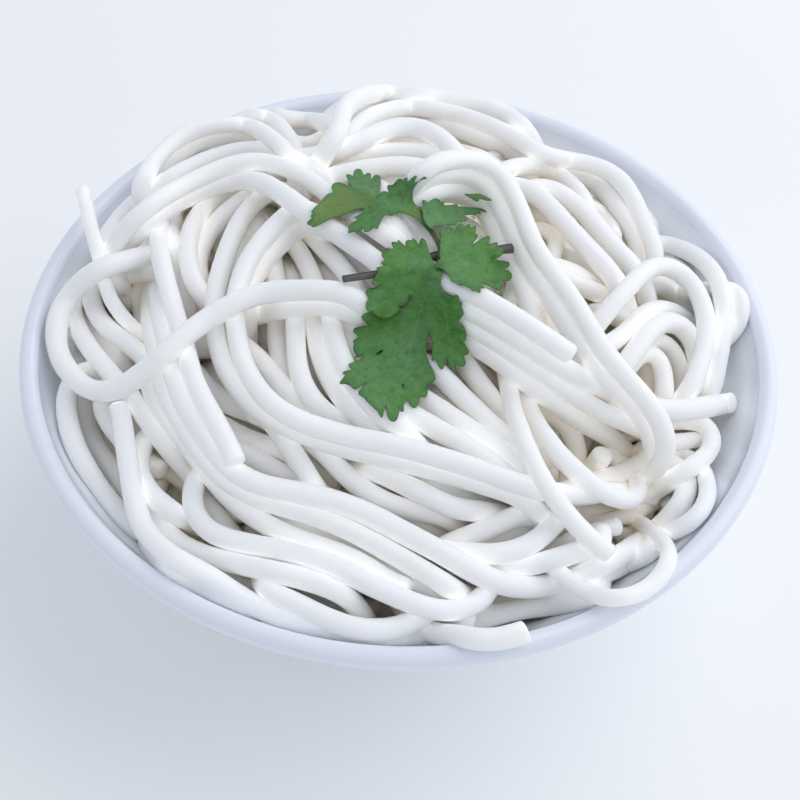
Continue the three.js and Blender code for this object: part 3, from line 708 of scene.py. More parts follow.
        (-17.6, -6.3, -0.3), (-16.5, -12.1, -0.3), (-15.2, -17.5, -0.3), (-13.3, -22.8, -0.3),
        (-10.7, -27.9, -0.3), (-7.2, -32.3, -0.3), (-3.1, -36.2, -0.3), (1.4, -39.8, -0.3),
        (5.6, -43.0, -0.3),
    ]),
    "v7": ("", [
        (-13.3, -9.6, -0.2), (-11.8, -15.1, -0.2), (-9.9, -20.5, -0.2), (-7.0, -25.6, -0.2),
        (-3.8, -30.0, -0.2), (-0.2, -34.0, -0.2), (3.4, -37.6, -0.2),
    ]),
    "t1s": ("", [
        (-28.8, -36.0, -0.7), (-26.0, -40.2, -0.7), (-23.4, -43.7, -0.7), (-21.1, -47.2, -0.7),
        (-18.8, -50.3, -0.7), (-16.4, -53.4, -0.7),
    ]),
    "r1": ("", [
        (-20.8, -40.6, -0.5), (-16.7, -44.0, -0.5), (-12.8, -47.8, -0.5), (-9.0, -51.3, -0.5),
        (-4.8, -54.1, -0.5), (0.0, -55.8, -0.5), (5.0, -56.9, -0.5), (10.0, -56.8, -0.5),
    ]),
    "r2": ("", [
        (-5.1, -48.2, -0.4), (-0.5, -50.3, -0.4), (4.4, -52.2, -0.4), (9.0, -54.3, -0.4),
        (13.3, -55.9, -0.4), (17.4, -56.2, -0.5), (21.1, -54.9, -0.7),
    ]),
    "r3": ("", [
        (5.9, -49.7, -0.3), (11.6, -51.8, -0.3), (16.9, -53.2, -0.4), (21.5, -53.6, -0.6),
    ]),
    "n1a": ("", [
        (0.5, -29.4, -0.1), (5.5, -32.0, -0.1), (10.7, -35.0, -0.1), (16.0, -38.0, -0.1),
        (21.6, -41.1, -0.1), (26.8, -43.9, -0.1), (31.0, -46.2, -0.1),
    ]),
    "n1b": ("", [
        (-3.5, -32.5, -0.2), (1.7, -35.4, -0.2), (7.3, -38.1, -0.2), (13.1, -40.9, -0.2),
        (18.9, -43.7, -0.2), (24.0, -46.0, -0.2),
    ]),
    "n2": ("", [
        (7.0, -20.6, -0.9), (9.9, -23.5, -0.9), (13.7, -27.5, -0.9), (17.8, -31.0, -0.9),
        (21.8, -34.4, -0.9), (26.1, -37.9, -0.9), (30.4, -41.0, -0.9),
    ]),
    "n3": ("", [
        (12.5, -16.8, -0.5), (15.2, -20.8, -0.5), (18.1, -24.8, -0.5), (21.2, -28.7, -0.5),
        (24.5, -32.5, -0.5), (27.6, -36.4, -0.5),
    ]),
    "n5": ("", [
        (0.4, -34.0, -1.3), (5.6, -38.1, -1.3), (11.0, -40.2, -1.3), (16.7, -42.0, -1.3),
        (22.1, -42.8, -1.3),
    ]),
    "l1": ("", [
        (-51.2, -14.1, -0.8), (-48.0, -16.0, -0.8), (-45.0, -16.5, -0.8), (-42.6, -16.3, -0.8),
    ]),
    "l2": ("", [
        (-48.3, -22.1, -0.7), (-45.4, -26.6, -0.7), (-42.0, -29.8, -0.7), (-37.9, -32.0, -0.7),
        (-33.7, -33.8, -0.7), (-29.3, -36.0, -0.7),
    ]),
    "l3": ("", [
        (-42.6, -34.3, -0.9), (-38.2, -37.6, -0.9), (-33.3, -40.1, -0.9), (-28.5, -41.8, -0.9),
        (-23.5, -43.4, -0.9),
    ]),
    "l4": ("", [
        (-37.3, -40.7, -1), (-33.0, -43.3, -1), (-28.6, -46.3, -1), (-23.8, -48.8, -1), (-19.1, -50.3, -1),
    ]),
    "l5": ("", [
        (-56.6, -39.1, -1.9), (-53.8, -41.4, -1.9), (-50.6, -44.0, -1.9), (-47.4, -46.5, -1.9),
    ]),
    "k1": ("", [
        (-72.8, 44.0, 0.4), (-72.8, 54.6, 0.4), (-71.0, 61.1, 0.4), (-68.0, 66.5, 0.4), (-64.0, 71.3, 0.4),
        (-59.2, 74.4, 0.4), (-53.6, 75.9, 0.4), (-47.8, 75.8, 0.4), (-40.7, 62.3, 0.4), (-35.5, 52.9, 0.4),
        (-31.5, 44.9, 0.4),
    ]),
    "k3": ("", [
        (-70.9, 48.6, -0.3), (-69.9, 58.7, -0.3), (-66.9, 64.5, -0.3), (-63.2, 69.3, -0.3),
        (-58.8, 72.8, -0.3), (-54.0, 74.7, -0.3), (-48.6, 74.0, -0.3),
    ]),
    "k5": ("", [
        (-49.3, 80.8, 0.1), (-43.5, 81.1, 0.1), (-37.4, 70.0, 0.1), (-33.1, 58.4, 0.1), (-29.8, 49.2, 0.1),
    ]),
    "m1": ("", [
        (-43.6, 86.6, -0.6), (-37.2, 84.7, -0.6), (-31.2, 84.3, -0.6), (-24.8, 75.2, -0.6),
        (-21.0, 66.5, -0.6),
    ]),
    "m2": ("", [
        (-35.7, 70.9, -0.8), (-31.8, 60.9, -0.8), (-28.2, 57.3, -0.8), (-24.7, 59.3, -0.8),
        (-22.4, 65.5, -0.8),
    ]),
    "m3": ("", [
        (36.6, 67.1, -0.2), (35.9, 82.9, -0.2), (33.1, 88.7, -0.2), (28.3, 92.5, -0.2), (21.9, 94.4, -0.1),
        (15.6, 94.8, 0), (9.2, 94.3, 0.2), (1.7, 93.1, 0.5), (-5.8, 91.0, 0.9), (-11.7, 76.9, 1.4),
        (-15.7, 68.0, 1.6), (-17.9, 62.2, 1.4), (-18.3, 55.5, 1.1), (-19.0, 50.2, 0.8), (-21.2, 47.1, 0.5),
    ]),
    "m4": ("", [
        (-16.0, 52.2, 0.1), (-14.0, 61.6, 0.1), (-10.3, 70.4, 0.1), (-4.8, 78.9, 0.1), (1.8, 89.8, 0.1),
        (9.3, 89.4, 0.1), (16.5, 83.4, 0.1), (23.6, 76.7, 0.1), (29.7, 71.5, 0), (34.6, 65.8, -0.1),
        (40.1, 64.4, -0.1), (47.7, 73.7, -0.1), (54.1, 72.8, -0.1), (59.9, 70.1, -0.1), (63.9, 64.5, -0.1),
        (66.2, 57.2, -0.1), (66.6, 44.5, -0.1), (67.4, 35.9, -0.1), (68.4, 31.5, -0.2),
    ]),
    "m5": ("", [
        (-29.0, 46.7, -0.1), (-23.1, 45.9, 0), (-17.4, 48.6, 0), (-12.5, 53.5, 0), (-8.1, 59.1, 0),
        (-2.8, 63.1, 0), (3.3, 63.4, 0), (8.3, 59.1, 0), (12.2, 55.4, -0.2),
    ]),
    "m6": ("", [
        (-16.5, 46.9, -0.7), (-10.9, 48.7, -0.5), (-4.6, 51.0, -0.4), (3.0, 51.9, -0.4), (9.5, 49.8, -0.4),
    ]),
    "rb": ("", [
        (2.8, 84.5, -1), (10.7, 77.4, -0.8), (17.7, 71.7, -0.7), (24.8, 67.3, -0.7), (31.4, 65.8, -0.8),
    ]),
    "m10": ("", [
        (19.7, 94.6, -0.8), (24.0, 92.9, -0.8), (27.9, 89.3, -0.8), (31.1, 84.9, -0.8), (33.1, 71.6, -0.8),
    ]),
    "sp1": ("", [
        (-7.2, 34.1, -0.4), (-3.3, 28.6, -0.4), (0.9, 22.3, -0.4), (5.1, 16.0, -0.4), (8.7, 10.1, -0.4),
        (11.7, 4.2, -0.4),
    ]),
    "sp2": ("", [
        (-10.1, 30.9, -0.6), (-6.3, 25.5, -0.6), (-2.3, 19.7, -0.6), (1.7, 13.8, -0.6), (4.8, 7.5, -0.6),
    ]),
    "sp3": ("", [
        (4.9, 32.6, -0.8), (9.0, 35.2, -0.8), (13.8, 35.6, -0.8), (18.3, 34.0, -0.8), (22.2, 30.2, -0.8),
    ]),
    "wfill": ("", [
        (-75.3, -18.1, -1.6), (-71.2, -23.7, -1.6), (-67.9, -28.6, -1.6),
    ]),
    "l6": ("", [
        (-67.1, 11.4, -1), (-66.3, 4.4, -1), (-64.6, -1.8, -1), (-62.2, -7.6, -1),
    ]),
    "m7": ("", [
        (-23.1, 38.5, -0.7), (-17.9, 39.9, -0.5), (-10.6, 42.1, -0.4), (-2.2, 44.0, -0.4),
        (6.3, 43.6, -0.4),
    ]),
}
# </strands>
# <widths>
STRAND_WIDTH = {
    "rc": 1.00,
    "ra": 0.98,
    "rq": 0.85,
    "rk": 0.85,
    "rg3": 0.85,
    "t5": 0.85,
    "y3": 0.85,
    "y2": 0.85,
    "y1": 0.85,
    "ri2": 0.85,
    "ri1": 0.93,
    "rj2": 0.90,
    "rj": 0.86,
    "rp": 0.90,
    "loop": 1.04, "loop2": 0.97, "stick": 0.74, "a2": 0.97, "c1": 0.97, "w1": 0.97, "w2": 0.97,
    "ce1": 0.97, "i": 0.97, "f1": 0.97, "f2": 1.04, "f3": 0.97, "f4": 0.97, "j1": 0.97, "j2": 0.97,
    "u2": 0.97, "m2b": 0.97, "u3": 0.97, "u4": 0.97, "u5": 0.80, "o1": 0.97, "o4": 0.97, "z1": 0.88,
    "z2": 0.90, "b1": 0.97, "dg2": 0.97, "rd": 1.10, "re": 0.90, "rf1": 1.06, "rg1": 0.97,
    "rh": 1.08, "t1": 1.10, "t2": 1.07, "a1": 0.97, "ar2": 0.97, "ar3": 1.05, "q2": 0.97,
    "q3": 0.98, "q5": 0.97, "q6": 0.97, "v4": 0.97, "c3": 1.10, "c4": 0.97, "r1": 0.97, "n1a": 0.98,
    "k1": 0.95, "m3": 1.06, "m5": 1.10, "m9": 0.85, "m10": 0.85,
}  # shares of the mean diameter, where a strand is thicker or thinner
# </widths>


# by the wall the heights don't tell which strand lies over which
OVER = (("rc", "re"), ("ra", "rc"), ("ra", "re"), ("f2", "rj"), ("ri1", "rj"), ("ri1", "f2"),
        ("u2", "u3"), ("u3", "ce1"), ("u2", "ce1"))


def lay_strands():
    """The strands' middle lines, one over the other. Returns a list of dicts."""
    step = 1.5
    rows, ids, lev, loose = [], [], [], []
    strands = []
    for n, (name, (cut, pts)) in enumerate(STRANDS.items()):
        p = np.array(pts, float)
        for end, flag in ((0, "0"), (-1, "1")):
            if flag in cut:
                continue
            # a hidden end goes on under its neighbours
            a, b = (p[0], p[1]) if end == 0 else (p[-1], p[-2])
            d = (a - b)[:2]
            d /= np.linalg.norm(d) + 1e-9
            r = np.hypot(a[0], a[1])
            inward = -a[:2] / (r + 1e-9)
            w = np.clip((r - 62) / 20, 0, 0.9)
            add = []
            pos = a[:2].copy()
            for dist, drop in ((2.8, 0.55), (3.2, 0.85), (3.2, 0.7)):
                d = d * (1 - 0.45 * w) + inward * 0.45 * w
                d /= np.linalg.norm(d)
                pos = pos + d * dist
                add.append([pos[0], pos[1], (add[-1][2] if add else a[2]) - drop])
            add = np.array(add)
            p = np.vstack([add[::-1], p]) if end == 0 else np.vstack([p, add])
        over = np.zeros(len(p))
        if "0" not in cut:
            over[:2] = 1
        if "1" not in cut:
            over[-2:] = 1
        z = heap_z(p[:, 0], p[:, 1]) - NOODLE / 2 + 4.4 * p[:, 2]
        c = catmull(np.column_stack([p[:, 0], p[:, 1], z, p[:, 2], over]), 8)
        c = resample(c, step)
        rows.append(c[:, :3])
        lev.append(c[:, 3])
        # 0 where seen, rising to 1 towards an end that runs on under the others
        f = np.zeros(len(c))
        k = np.arange(len(c))
        if "0" not in cut:
            m = np.nonzero(c[:, 4] > 0.5)[0]
            m = m[m < len(c) / 2].max()
            f = np.maximum(f, np.clip((m + 5 - k) / 7.0, 0, 1))
        if "1" not in cut:
            m = np.nonzero(c[:, 4] > 0.5)[0]
            m = m[m > len(c) / 2].min()
            f = np.maximum(f, np.clip((k - m + 5) / 7.0, 0, 1))
        loose.append(f)
        ids.append(np.full(len(c), n))
        rng = np.random.default_rng(100 + n)
        width = STRAND_WIDTH.get(name, 1.0) * (1 + 0.03 * (rng.random() - 0.5))
        strands.append({"name": name, "cut": cut, "n": len(c), "radius": NOODLE / 2 * width})
    p = np.vstack(rows)
    level = np.concatenate(lev)
    loose = np.concatenate(loose)
    sid = np.concatenate(ids)
    rad = np.concatenate([np.full(s["n"], s["radius"]) for s in strands])
    idx = np.concatenate([np.arange(s["n"]) for s in strands])
    starts = np.cumsum([0] + [s["n"] for s in strands])
    first, last = starts[:-1], starts[1:] - 1
    inner = np.ones(len(p), bool)
    inner[first] = False
    inner[last] = False

    def lap(u):
        m = np.zeros_like(u)
        m[1:-1] = 0.5 * (u[:-2] + u[2:]) - u[1:-1]
        m[~inner] = 0
        return m

    def split(p):
        v = p - CAM
        t = np.linalg.norm(v, axis=1)
        return v, t, v / t[:, None]

    def clear_wall(p, ray, tries=2):
        """Off the bowl, along the line to the eye where that helps, so that what is
        seen stays in its place: towards the eye on the far side, and by the near
        side to where the wall leaves the most room."""
        clear = NOODLE / 2 * 0.97
        r = np.hypot(p[:, 0], p[:, 1])
        back = np.nonzero((p[:, 1] > 5) & (loose < 0.5) & (r > 60))[0]
        p = p.copy()
        for _ in range(14):
            short = clear - wall_gap(p[back])
            back, short = back[short > 1e-3], short[short > 1e-3]
            if len(back) == 0:
                break
            p[back] -= ray[back] * np.maximum(short, 0.15)[:, None]
        near = np.nonzero((p[:, 1] <= 5) & (loose < 0.5) & (r > 62))[0]
        offs = np.arange(-8.0, 8.1, 1.0)
        q = p[near][:, None] + ray[near][:, None] * offs[None, :, None]
        gap = wall_gap(q.reshape(-1, 3), -6.0).reshape(len(near), -1)
        cost = 3 * np.maximum(0, clear - gap) + 0.12 * np.abs(offs)
        shift = np.zeros(len(p))
        shift[near] = offs[cost.argmin(1)]
        for _ in range(4):
            shift = shift + 0.5 * lap(shift)
        p += ray * shift[:, None]
        for _ in range(tries):
            p = off_wall(p, clear)
        return p

    def inside_bowl(p, ray):
        """Nothing starts behind the far wall: each line to the eye that comes in
        through the mouth of the bowl is held in front of the glaze."""
        down = (LIP_Z - CAM[2]) / ray[:, 2]
        mouth = CAM + ray * down[:, None]
        enters = np.hypot(mouth[:, 0], mouth[:, 1]) < INNER_RADIUS - 0.5
        t = down.copy()
        stop = np.full(len(p), 1e9)
        for _ in range(130):
            q = CAM + ray * t[:, None]
            r = np.hypot(q[:, 0], q[:, 1])
            hit = (q[:, 2] < inner_z(np.minimum(r, INNER_RADIUS + 3))) & (stop > 1e8) & (r > 40)
            slope = inner_slope(np.minimum(r, INNER_RADIUS))
            n = np.column_stack([-q[:, 0] / r * slope, -q[:, 1] / r * slope, np.ones(len(p))])
            n /= np.linalg.norm(n, axis=1)[:, None]
            facing = -(n * ray).sum(1)
            stop = np.where(hit & (facing > 0.2), t - NOODLE / 2 / np.maximum(facing, 0.35), stop)
            t = t + 1.0
        far = np.linalg.norm(p - CAM, axis=1)
        far = np.where(enters, np.minimum(far, stop), far)
        return CAM + ray * far[:, None]

    order_of = {s["name"]: n for n, s in enumerate(strands)}
    v, t, ray = split(p)
    p = clear_wall(inside_bowl(p, ray), ray, 4)
    v, t, ray = split(p)
    t0 = t.copy()
    for rounds in range(8):
        depth = -(v @ CAM_BACK)
        q = np.column_stack([(v @ CAM_RIGHT) / depth, (v @ CAM_UP) / depth]) * 330.0
        i, j = near_pairs_2d(q, NOODLE * 1.3)
        same = sid[i] == sid[j]
        far = ~same | (np.abs(idx[i] - idx[j]) > 8)
        i, j = i[far], j[far]
        lateral = np.linalg.norm(q[i] - q[j], axis=1) * (depth[i] + depth[j]) / 660.0
        touch = (rad[i] + rad[j]) * 0.95
        keep = lateral < touch
        i, j, lateral, touch = i[keep], j[keep], lateral[keep], touch[keep]
        # who lies over whom, one answer for each stretch where two strands meet
        swap = (sid[i] > sid[j]) | ((sid[i] == sid[j]) & (i > j))
        i, j = np.where(swap, j, i), np.where(swap, i, j)
        pair = sid[i].astype(np.int64) * 1000 + sid[j]
        order = np.lexsort((i, pair))
        i, j, pair, lateral, touch = i[order], j[order], pair[order], lateral[order], touch[order]
        h = np.sqrt(touch**2 - lateral**2)
        fresh = np.ones(len(i), bool)
        fresh[1:] = (pair[1:] != pair[:-1]) | (i[1:] - i[:-1] > 4)
        region = np.cumsum(fresh) - 1
        mean = np.bincount(region, (level[i] - level[j]) * h) / np.bincount(region, h + 1e-9)
        sign = np.where(mean[region] > 0.005, 1, -1)
        for a, b in OVER:
            a, b = order_of[a], order_of[b]
            sign[(sid[i] == a) & (sid[j] == b)] = 1
            sign[(sid[i] == b) & (sid[j] == a)] = -1
        up = np.where(sign > 0, i, j)
        dn = np.where(sign > 0, j, i)
        # a hidden end gives way to what is seen, and not the other way round
        both = (loose[up] > 0.5) & (loose[dn] > 0.5)
        up, dn, h = up[~both], dn[~both], h[~both]
        give = 1 / (1.02 - loose)
        wu = give[up] / (give[up] + give[dn])
        wd = 1.0 - wu
        ou, od = np.argsort(up, kind="stable"), np.argsort(dn, kind="stable")
        uu, us = np.unique(up[ou], return_index=True)
        du, ds = np.unique(dn[od], return_index=True)
        for it in range(90):
            need = np.maximum(h - (t[dn] - t[up]), 0)
            move = np.zeros(len(t))
            move[uu] -= np.maximum.reduceat((need * wu)[ou], us)
            move[du] += np.maximum.reduceat((need * wd)[od], ds)
            t = t + move
            off = t - t0
            l1 = lap(off)
            off = off + 0.35 * l1
            l1 = lap(off)
            off = off - 0.5 * lap(l1) + 0.05 * l1
            off *= 0.997
            t = t0 + off
        p = CAM + ray * t[:, None]
        p = clear_wall(inside_bowl(p, ray), ray)
        for _ in range(2):
            m = lap(p)
            p = p + 0.3 * m - 0.4 * lap(m)
        v, t, ray = split(p)
    # below the lip every strand keeps inside the glaze
    r = np.hypot(p[:, 0], p[:, 1])
    room = 90.0 * (np.clip(p[:, 2] - 8.5, 0, None) / (LIP_Z - 8.5)) ** (1 / 2.8) - NOODLE / 2 - 0.2
    out = ((p[:, 2] < LIP_Z + 0.5) & (r > room) & (loose > 0.3)) | ((p[:, 2] < LIP_Z - 0.5) & (r > room + 2.0))
    p[out, :2] *= (room / r)[out, None]
    for s, a, b in zip(strands, starts[:-1], starts[1:]):
        s["line"] = p[a:b]
    return strands


# ============================================================ the strands beneath
def lay_fillers(heroes):
    rng = np.random.default_rng(7)
    cells = 2.5
    size = int(200 / cells)
    made = []
    # which way the strands that show run, place by place (as double angles)
    flow = np.zeros((size, size, 2))
    for s in heroes:
        line = s["line"]
        d = np.gradient(line[:, :2], axis=0)
        a = np.arctan2(d[:, 1], d[:, 0])
        c = np.clip(((line[:, :2] + 100) / cells).astype(int), 0, size - 1)
        np.add.at(flow, (c[:, 0], c[:, 1], 0), np.cos(2 * a))
        np.add.at(flow, (c[:, 0], c[:, 1], 1), np.sin(2 * a))
    for _ in range(14):
        f = np.pad(flow, ((1, 1), (1, 1), (0, 0)), mode="edge")
        flow = 0.2 * (f[1:-1, 1:-1] + f[2:, 1:-1] + f[:-2, 1:-1] + f[1:-1, 2:] + f[1:-1, :-2])
    for layer in range(4):
        cover = np.zeros((size, size))
        gx, gy = np.meshgrid((np.arange(size) + 0.5) * cells - 100, (np.arange(size) + 0.5) * cells - 100, indexing="ij")
        ga = np.arctan2(gy, gx)
        limit = lambda a: edge_radius(a) - 2.5 - 1.2 * layer
        inside = np.hypot(gx, gy) < limit(ga)
        for tries in range(70):
            free = inside & (cover < 0.5)
            if free.sum() < 0.10 * inside.sum():
                break
            best = None
            for c in range(14):
                k = rng.integers(free.sum())
                fx, fy = gx[free][k], gy[free][k]
                ci = np.clip(((np.array([fx, fy]) + 100) / cells).astype(int), 0, size - 1)
                along = 0.5 * math.atan2(flow[ci[0], ci[1], 1], flow[ci[0], ci[1], 0])
                slant = (0.12 + 0.30 * layer) * rng.uniform(-1, 1)
                head = along + slant
                bend = 0.25 * rng.choice([-1, 1]) / rng.uniform(22, 85)
                length = rng.uniform(110, 220)
                pts = []
                for way in (1, -1):
                    x, y, a, kb = fx, fy, head + (0 if way > 0 else math.pi), bend * way
                    run = []
                    for _ in range(int(length / 2 / 2.5)):
                        x += 2.5 * math.cos(a)
                        y += 2.5 * math.sin(a)
                        a += kb * 2.5
                        ix, iy = min(max(int((x + 100) / cells), 0), size - 1), min(max(int((y + 100) / cells), 0), size - 1)
                        want = 0.5 * math.atan2(flow[ix, iy, 1], flow[ix, iy, 0]) + slant - a
                        want = (want + math.pi / 2) % math.pi - math.pi / 2
                        a += min(0.13, max(-0.13, 0.35 * want))
                        r = math.hypot(x, y)
                        lim = float(limit(math.atan2(y, x)))
                        if r > lim - 8:
                            out = math.cos(a) * x / r + math.sin(a) * y / r
                            turn = 1 if (math.cos(a) * -y + math.sin(a) * x) > 0 else -1
                            if out > -0.05:
                                a += turn * min(0.32, 0.10 + 0.04 * (r - lim + 8)) * (1 + out)
                            if r > lim:
                                x *= lim / r
                                y *= lim / r
                        run.append((x, y))
                    pts = run[::-1] + [(fx, fy)] + pts if way > 0 else pts + run
                pts = np.array(pts[::1])
                ci = np.clip(((pts + 100) / cells).astype(int), 0, size - 1)
                cost = np.minimum(cover[ci[:, 0], ci[:, 1]], 1.5).mean()
                if best is None or cost < best[0]:
                    best = (cost, pts)
            pts = best[1]
            made.append((layer, pts))
            for x, y in pts:
                d = np.hypot(gx - x, gy - y)
                cover += (d < 2.6) * 0.5
            cover = np.minimum(cover, 2)
    lines = []
    for n, (layer, pts) in enumerate(made):
        s = np.concatenate([[0], np.cumsum(np.linalg.norm(np.diff(pts, axis=0), axis=1))])
        w = wave_noise(500 + n, 45)(s)
        z = heap_z(pts[:, 0], pts[:, 1]) - NOODLE / 2 - NOODLE * (1.05 + 0.92 * layer) + 0.5 * w
        c = np.column_stack([pts, z])
        for _ in range(3):
            c[1:-1] = 0.25 * c[:-2] + 0.5 * c[1:-1] + 0.25 * c[2:]
        lines.append(resample(catmull(c, 4), 2.2))
    hp = np.vstack([s["line"][::1] for s in heroes])
    nf = sum(len(l) for l in lines)
    p = np.vstack(lines + [hp])
    sid = np.concatenate([np.full(len(l), n) for n, l in enumerate(lines)] + [np.full(len(hp), -1)])
    idx = np.concatenate([np.arange(len(l)) for l in lines] + [np.zeros(len(hp))])
    starts = np.cumsum([0] + [len(l) for l in lines])
    inner = np.zeros(len(p), bool)
    inner[:nf] = True
    inner[starts[:-1]] = False
    inner[starts[1:] - 1] = False
    weight = np.where(np.arange(len(p)) < nf, 1.0, 0.0)
    home = p.copy()
    top = heap_z(p[:, 0], p[:, 1])
    for rounds in range(12):
        i, j = near_pairs_3d(p, NOODLE * 1.15)
        ok = ((sid[i] != sid[j]) | (np.abs(idx[i] - idx[j]) > 5)) & ((weight[i] + weight[j]) > 0)
        i, j = i[ok], j[ok]
        for it in range(6):
            d = p[i] - p[j]
            dist = np.linalg.norm(d, axis=1) + 1e-6
            lack = np.maximum(0, NOODLE * 0.94 - dist)
            n = d / dist[:, None]
            hero = (weight[i] + weight[j]) < 1.5
            # beside a strand that shows, a filler goes down rather than up
            up = np.where(weight[i] == 0, -1.0, 1.0)
            n[hero, 2] -= 0.7 * up[hero]
            n /= np.linalg.norm(n, axis=1)[:, None]
            wi = weight[i] / (weight[i] + weight[j])
            mv = np.zeros_like(p)
            cnt = np.zeros(len(p))
            np.add.at(mv, i, n * (lack * wi)[:, None])
            np.add.at(mv, j, -n * (lack * (1 - wi))[:, None])
            np.add.at(cnt, i, lack > 0)
            np.add.at(cnt, j, lack > 0)
            p = p + mv / np.maximum(1, cnt * 0.55)[:, None]
            off = p - home
            m = np.zeros_like(off)
            m[1:-1] = 0.5 * (off[:-2] + off[2:]) - off[1:-1]
            off = off + 0.5 * np.where(inner[:, None], m, 0)
            off[:nf] *= 0.99
            p = home + off
        q = off_wall(p[:nf], NOODLE / 2 * 0.96)
        p[:nf] = q
    # as seen by the eye, none of them comes over a strand that shows
    hero_r = np.concatenate([np.full(len(s["line"]), s["radius"]) for s in heroes])
    for rounds in range(3):
        v = p - CAM
        far = np.linalg.norm(v, axis=1)
        ray = v / far[:, None]
        depth = -(v @ CAM_BACK)
        q = np.column_stack([(v @ CAM_RIGHT) / depth, (v @ CAM_UP) / depth]) * 330.0
        i, j = near_pairs_2d(q, NOODLE * 1.1)
        pick = (i < nf) != (j < nf)
        i, j = i[pick], j[pick]
        i, j = np.where(i < nf, i, j), np.where(i < nf, j, i)
        side = np.linalg.norm(q[i] - q[j], axis=1) * depth[j] / 330.0
        touch = 0.94 * (NOODLE / 2 + hero_r[j - nf])
        need = np.where(side < touch, far[j] + np.sqrt(np.maximum(touch**2 - side**2, 0)) - far[i], 0)
        push = np.zeros(nf)
        np.maximum.at(push, i, need)
        push = np.minimum(push, 6.0)
        for _ in range(4):
            m = np.zeros(nf)
            m[1:-1] = 0.5 * (push[:-2] + push[2:]) - push[1:-1]
            push = np.maximum(push, push + np.where(inner[:nf], m, 0))
        p[:nf] += ray[:nf] * push[:, None]
        p[:nf] = off_wall(p[:nf], NOODLE / 2 * 0.96)
    out = []
    for n, (a, b) in enumerate(zip(starts[:-1], starts[1:])):
        line = p[a:b].copy()
        for _ in range(2):
            line[1:-1] = 0.25 * line[:-2] + 0.5 * line[1:-1] + 0.25 * line[2:]
        r = np.random.default_rng(900 + n)
        out.append({"name": f"f{n}", "cut": "", "line": line, "radius": NOODLE / 2 * (1 + 0.07 * (r.random() - 0.5))})
    return out


